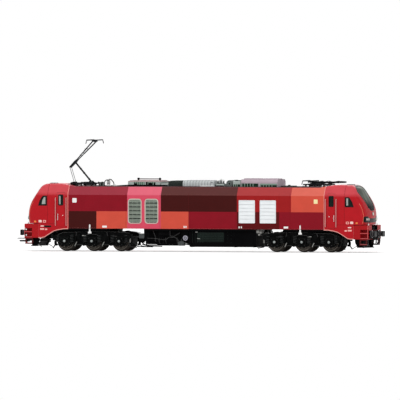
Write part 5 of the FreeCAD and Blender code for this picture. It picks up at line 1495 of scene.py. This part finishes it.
# rims and bolts on the low lids, and two dark lids with their caps
LID_TOP = 47.4
bolt = [(0, 0.2), (0.24, 0.18), (0.3, -0.1), (0, -0.1)]
lids = Stock()
for x0, x1, wide in ((-28.2, -22.7, 10.0), (12.2, 18.4, 8.0)):
    outer = rounded(x0 + 0.5, x1 - 0.5, -wide + 0.6, wide - 0.6, 0.3, 2)
    inner = rounded(x0 + 0.7, x1 - 0.7, -wide + 0.8, wide - 0.8, 0.2, 2)
    lids.frame(outer, inner, "z", LID_TOP - 0.1, LID_TOP + 0.06)
    corner = Stock().turned(bolt, (x0 + 1.1, -wide + 1.2, LID_TOP), "z", 6)
    lids.take(rows(corner, "roof_grey", 2, (x1 - x0 - 2.2, 0, 0), 4, (0, (2 * wide - 2.4) / 3, 0)))
lids.finished("roof_lid_rims", "roof_grey")
lids = Stock().prism(rounded(-76.35, -73.45, -1.95, 1.95, 0.9, 4), "z", 45.25, 48.2)
lids.turned([(0, 48.5), (0.7, 48.4), (1.1, 48.1), (0, 48.1)], (-74.9, 0, 0), "z", 16)
lids.prism(rounded(60.05, 68.75, -6.15, 6.15, 0.6, 4), "z", 45.2, 46.3)
lids.turned([(0, 47.0), (0.9, 46.9), (1.2, 46.2), (0, 46.2)], (66.0, -4.0, 0), "z", 16)
lids.finished("dark_roof_lids", "roof_dark", round_edges=0.15)

# joints of the roof panels, lifting eyes and the low covers on the cabs
seams = Stock()
for x in (-88.4, -72.2, -57.2, -30.6, 11.9, 19.8, 59.6, 70.4, 86.0):
    seams.block(x - 0.09, x + 0.09, -12.2, 12.2, ROOF - 0.1, ROOF + 0.04)
for y in (-11.9, 11.8):
    seams.block(-89.5, 89.5, y, y + 0.1, ROOF - 0.1, ROOF + 0.04)
seams.finished("roof_panel_joints", "roof_dark")
eye = ((-0.7, ROOF), (-0.6, ROOF + 0.8), (0.6, ROOF + 0.8), (0.7, ROOF))
eyes = [[(x + dx, 11.2, height) for dx, height in eye] for x in (-86.0, -58.5, 20.0, 64.4, 72.0, 87.4)]
pipes(both_ways(eyes), 0.16, "roof_dark", 0.4, 8).finished("lifting_eyes", "roof_dark")
covers = Stock().prism(rounded(108.6, 113.3, -3.4, 3.4, 0.8, 4), "z", CAB_ROOF - 0.6, CAB_ROOF + 0.4)
both_cabs(covers, "cab_roof_covers", "gutter_dark", slot="cab_paint", round_edges=0.25)

# cables, insulators and the heads of the bar's posts
cables = [[(-69.4, -3.0, 49.5), (-69.0, -3.0, 50.4), (-67.4, -3.0, 50.0), (-65.6, -3.0, 48.0),
           (-65.2, -3.0, 45.3)],
          [(-73.6, 0.0, 47.6), (-72.4, -1.0, 49.2), (-70.6, -2.6, 49.9), (-69.4, -3.0, 49.5)],
          [(-76.0, 0.0, 47.6), (-78.2, 0.0, 48.2)]]
pipes(cables, 0.34, "cable_dark", 1.0, 8).finished("roof_cables", "cable_dark", slot="bar_metal")
POT_FOOT, SHEDS = 45.2, 4
pots = Stock()
for x, y, tip, radius in ((-69.4, -3.0, 49.4, 1.5), (-65.2, -3.0, 46.8, 1.0), (-71.6, 3.4, 48.4, 1.1),
                          (-62.4, -7.4, 46.4, 0.9)):
    step = (tip - POT_FOOT) / SHEDS
    shed = [(0, 0), (radius * 0.6, 0), (radius, step * 0.55), (radius * 0.6, step), (0, step)]
    for level in range(SHEDS):
        pots.turned(shed, (x, y, POT_FOOT + step * level), "z", 16)
pots.finished("roof_insulators", "plate_white", slot="insulator_grey")
knob = [(0, 51.5), (0.6, 51.4), (0.95, 51.0), (0.95, 50.3), (0.5, 49.9), (0, 49.9)]
heads = Stock()
for x in (-47.9, -31.9):
    heads.turned(knob, (x, 0, 0), "z", 16)
heads.finished("busbar_heads", "lamp_black")

# ---------------------------------------------------------------- pantographs
ARM_FOOT = (-83.2, 48.4)        # of the left-hand pantograph: X and height
LOWER_ARM, UPPER_ARM = 18.44, 20.86
RAISED, FOLDED = (130.6, 46.0), (178.0, 0.0)    # lower and upper arm, degrees up from +X


def turned_up(place, degrees):
    """Moves a piece that lies along +X to a pivot, turned up by an angle."""
    x, height = place
    return Matrix.Translation((x, 0, height)) @ Matrix.Rotation(-math.radians(degrees), 4, "Y")


def along_arm(start, length, degrees):
    """X and height of an arm's far end."""
    turn = math.radians(degrees)
    return start[0] + length * math.cos(turn), start[1] + length * math.sin(turn)


def at_foot(angles):
    return turned_up(ARM_FOOT, angles[0])


def at_knee(angles):
    return turned_up(along_arm(ARM_FOOT, LOWER_ARM, angles[0]), angles[1])


def at_head(angles):
    return turned_up(along_arm(along_arm(ARM_FOOT, LOWER_ARM, angles[0]), UPPER_ARM, angles[1]), 0)


def at_base(angles):
    """The base frame stands still, whatever the arms' angles are."""
    return Matrix.Identity(4)


def both_pantographs(stock, name, part, finish, place, **options):
    """A piece set on the raised left pantograph and, turned end for end, on the folded right one."""
    for side, angles in (("left", RAISED), ("right", FOLDED)):
        piece = Stock().take(stock, place(angles))
        if side == "right":
            piece = piece.turned_end()
        body = "root" if part == "root" else f"{part}_{side}"
        piece.finished(f"{name}_{side}", finish, body, **options)


# upper arm: cheek plates round the knee, thicker tube sleeves and a brace
cheek = symmetric([(0.3, -5.5), (0.6, -5.2), (0.8, 0.4), (0.45, 2.6)])
plates = Stock().prism([(x, height) for height, x in cheek], "y", 1.15, 1.6).mirrored("y")
plates.turned(disc(0.7, -1.75, 1.75), (0, 0, 0), "y", 20)
plates.turned([(0, 1.5), (0.75, 1.5), (0.75, 1.76), (0.4, 1.84), (0, 1.84)], (0, 0, 0), "y", 20)
plates.take(pipes(both_ways([[(8.6, 2.82, 0), (UPPER_ARM - 0.6, 4.8, 0)]]), 0.44, "panto_metal", 0.1, 10))
brace = [(5.6, -2.3, 0.2), (6.6, -1.1, 0.76), (8.0, 1.1, 0.76), (9.0, 2.9, 0.2)]
plates.take(pipes(both_ways([brace]), 0.14, "panto_metal", 0.5, 6))
both_pantographs(plates, "fork_plates", "fork", "panto_metal", at_knee)

# lower arm: collars and the air line along it
collars = Stock()
for x in (2.2, 8.0, 11.8):
    collars.turned(hoop(0.58, 0.78, x, x + 0.6), (0, 0, 0), "x", 20)
collars.take(pipes([[(1.6, 0.72, 0.1), (16.6, 0.72, 0.1)]], 0.14, "panto_metal", 0.1, 8))
both_pantographs(collars, "arm_collars", "arm", "panto_metal", at_foot)

# head: spring boxes under the strips
boxes = Stock().on_sides(-1.0, 1.0, 3.0, 3.9, -0.5, 0.45)
for x in (-3.2, 3.2):
    boxes.on_sides(x - 0.35, x + 0.35, 4.2, 5.6, 0.52, 0.9)
both_pantographs(boxes, "head_springs", "pan", "panto_metal", at_head, round_edges=0.08)

# base frame: drive box in the middle; bearing blocks, end struts, raising springs and rails at its sides
bearing = [(-84.6, 47.4), (-81.8, 47.4), (-82.4, 48.7), (-83.2, 49.1), (-84.0, 48.7)]
sides = Stock().prism(bearing, "y", 2.75, 3.3)
sides.prism([(-95.6, 47.2), (-91.6, 46.2), (-91.6, 45.6), (-96.0, 46.9)], "y", 4.2, 5.0)
sides.turned(disc(0.62, -89.8, -84.2), (0, 3.9, 47.7), "x", 14)
sides.block(-97.2, -76.8, 4.9, 6.0, 46.85, 47.75)
sides.take(pipes([[(-84.2, 3.9, 47.7), (-81.4, 3.9, 47.9)]], 0.28, "panto_metal", 0.1, 8))
base = Stock().block(-88.6, -81.0, -2.6, 2.6, 46.0, 47.3).block(-86.6, -84.8, -3.4, 3.4, 46.2, 47.45)
base.take(sides.mirrored("y"))
both_pantographs(base, "panto_bases", "root", "panto_metal", at_base, round_edges=0.08)
pads = Stock().block(-99.4, -92.8, -4.6, 4.6, 45.9, 46.9)
pads.turned([(0, 48.2), (0.9, 48.1), (1.2, 47.2), (1.2, 46.6), (0, 46.6)], (-97.4, 0, 0), "z", 18)
pads.finished("panto_rest", "lamp_black", round_edges=0.15)

# ---------------------------------------------------------------- stage
# from here on in metres above the floor, apart from the picture's width and its aim
STUDIO_AZIMUTH = 17.0
STUDIO_ELEVATION = 1.0
PICTURE_WIDTH = 286.0       # millimetres across the view
AIM_HEIGHT = 36.9           # millimetres from the floor up to the picture's middle
AIM_SHIFT = 1.9             # millimetres from the vehicle's middle to it, towards the left
CAMERA_DISTANCE = 2.5
FLOOR_HALF = 1.1
FLOOR_TONE, FLOOR_GLOW = 0.78, 0.34
AIR_LIGHT, AIR_SEEN = 0.55, 1.0         # strength of the surroundings as a light, and as they are seen
LAMP_AIM = Vector((0, 0, 0.03))
corners = [(-FLOOR_HALF, -FLOOR_HALF, 0), (FLOOR_HALF, -FLOOR_HALF, 0), (FLOOR_HALF, FLOOR_HALF, 0),
           (-FLOOR_HALF, FLOOR_HALF, 0)]
floor = bpy.data.objects.new("studio_floor", bpy.data.meshes.new("studio_floor"))
floor.data.from_pydata(corners, [], [(0, 1, 2, 3)])
bpy.context.scene.collection.objects.link(floor)


def seen_rays(tree):
    """1 for camera, glossy and transmission rays, which see the white background."""
    path = tree.nodes.new("ShaderNodeLightPath")
    total = path.outputs["Is Camera Ray"]
    for name in ("Is Glossy Ray", "Is Transmission Ray"):
        add = tree.nodes.new("ShaderNodeMath")
        add.operation = "ADD"
        add.use_clamp = True
        tree.links.new(total, add.inputs[0])
        tree.links.new(path.outputs[name], add.inputs[1])
        total = add.outputs[0]
    return total


def pale_floor():
    """A matt floor that keeps the shadow and glows a little where it is seen."""
    finish = bpy.data.materials.new("pale studio floor")
    finish.use_nodes = True
    tree = finish.node_tree
    shader = tree.nodes["Principled BSDF"]
    shader.inputs["Base Color"].default_value = (FLOOR_TONE, FLOOR_TONE, FLOOR_TONE, 1)
    shader.inputs["Roughness"].default_value = 0.9
    shader.inputs["Specular IOR Level"].default_value = 0.0
    shader.inputs["Emission Color"].default_value = (1, 1, 1, 1)
    glow = tree.nodes.new("ShaderNodeMath")
    glow.operation = "MULTIPLY"
    glow.inputs[1].default_value = FLOOR_GLOW
    tree.links.new(seen_rays(tree), glow.inputs[0])
    tree.links.new(glow.outputs[0], shader.inputs["Emission Strength"])
    floor.data.materials.append(finish)


def white_air():
    """White surroundings that light less than they are seen."""
    world = bpy.data.worlds.new("studio air")
    bpy.context.scene.world = world
    world.use_nodes = True
    tree = world.node_tree
    air = tree.nodes["Background"]
    air.inputs["Color"].default_value = (1, 1, 1, 1)
    level = tree.nodes.new("ShaderNodeMapRange")
    level.inputs["To Min"].default_value = AIR_LIGHT
    level.inputs["To Max"].default_value = AIR_SEEN
    tree.links.new(seen_rays(tree), level.inputs["Value"])
    tree.links.new(level.outputs["Result"], air.inputs["Strength"])


def soft_lamps():
    """Square lamps round the vehicle, each with a name, a place, a size and a power."""
    for name, place, size, power in (
            ("key", (-0.5, -1.0, 0.9), 0.9, 7.0), ("fill", (0.9, -0.8, 0.4), 0.8, 3.0),
            ("top", (0.1, 0.1, 1.3), 1.0, 4.0), ("back", (-0.2, 1.1, 0.8), 0.9, 4.0)):
        lamp = bpy.data.lights.new(name, "AREA")
        lamp.size = size
        lamp.energy = power
        holder = bpy.data.objects.new(name, lamp)
        holder.location = place
        holder.rotation_euler = (LAMP_AIM - Vector(place)).to_track_quat("-Z", "Y").to_euler()
        bpy.context.scene.collection.objects.link(holder)


def studio_camera():
    """A view without perspective from the studio's azimuth and elevation."""
    lens = bpy.data.cameras.new("studio camera")
    lens.type = "ORTHO"
    lens.ortho_scale = PICTURE_WIDTH * MM
    lens.clip_end = 20.0
    camera = bpy.data.objects.new("studio camera", lens)
    bpy.context.scene.collection.objects.link(camera)
    azimuth, elevation = math.radians(STUDIO_AZIMUTH), math.radians(STUDIO_ELEVATION)
    back = Vector((math.sin(azimuth) * math.cos(elevation), -math.cos(azimuth) * math.cos(elevation),
                   math.sin(elevation)))
    right = Vector((math.cos(azimuth), math.sin(azimuth), 0))
    aim = Vector((0, 0, AIM_HEIGHT)) * MM - right * AIM_SHIFT * MM
    camera.location = aim + back * CAMERA_DISTANCE
    camera.rotation_euler = (-back).to_track_quat("-Z", "Y").to_euler()
    bpy.context.scene.camera = camera


pale_floor()
white_air()
soft_lamps()
studio_camera()
bpy.context.scene.view_settings.view_transform = "Standard"
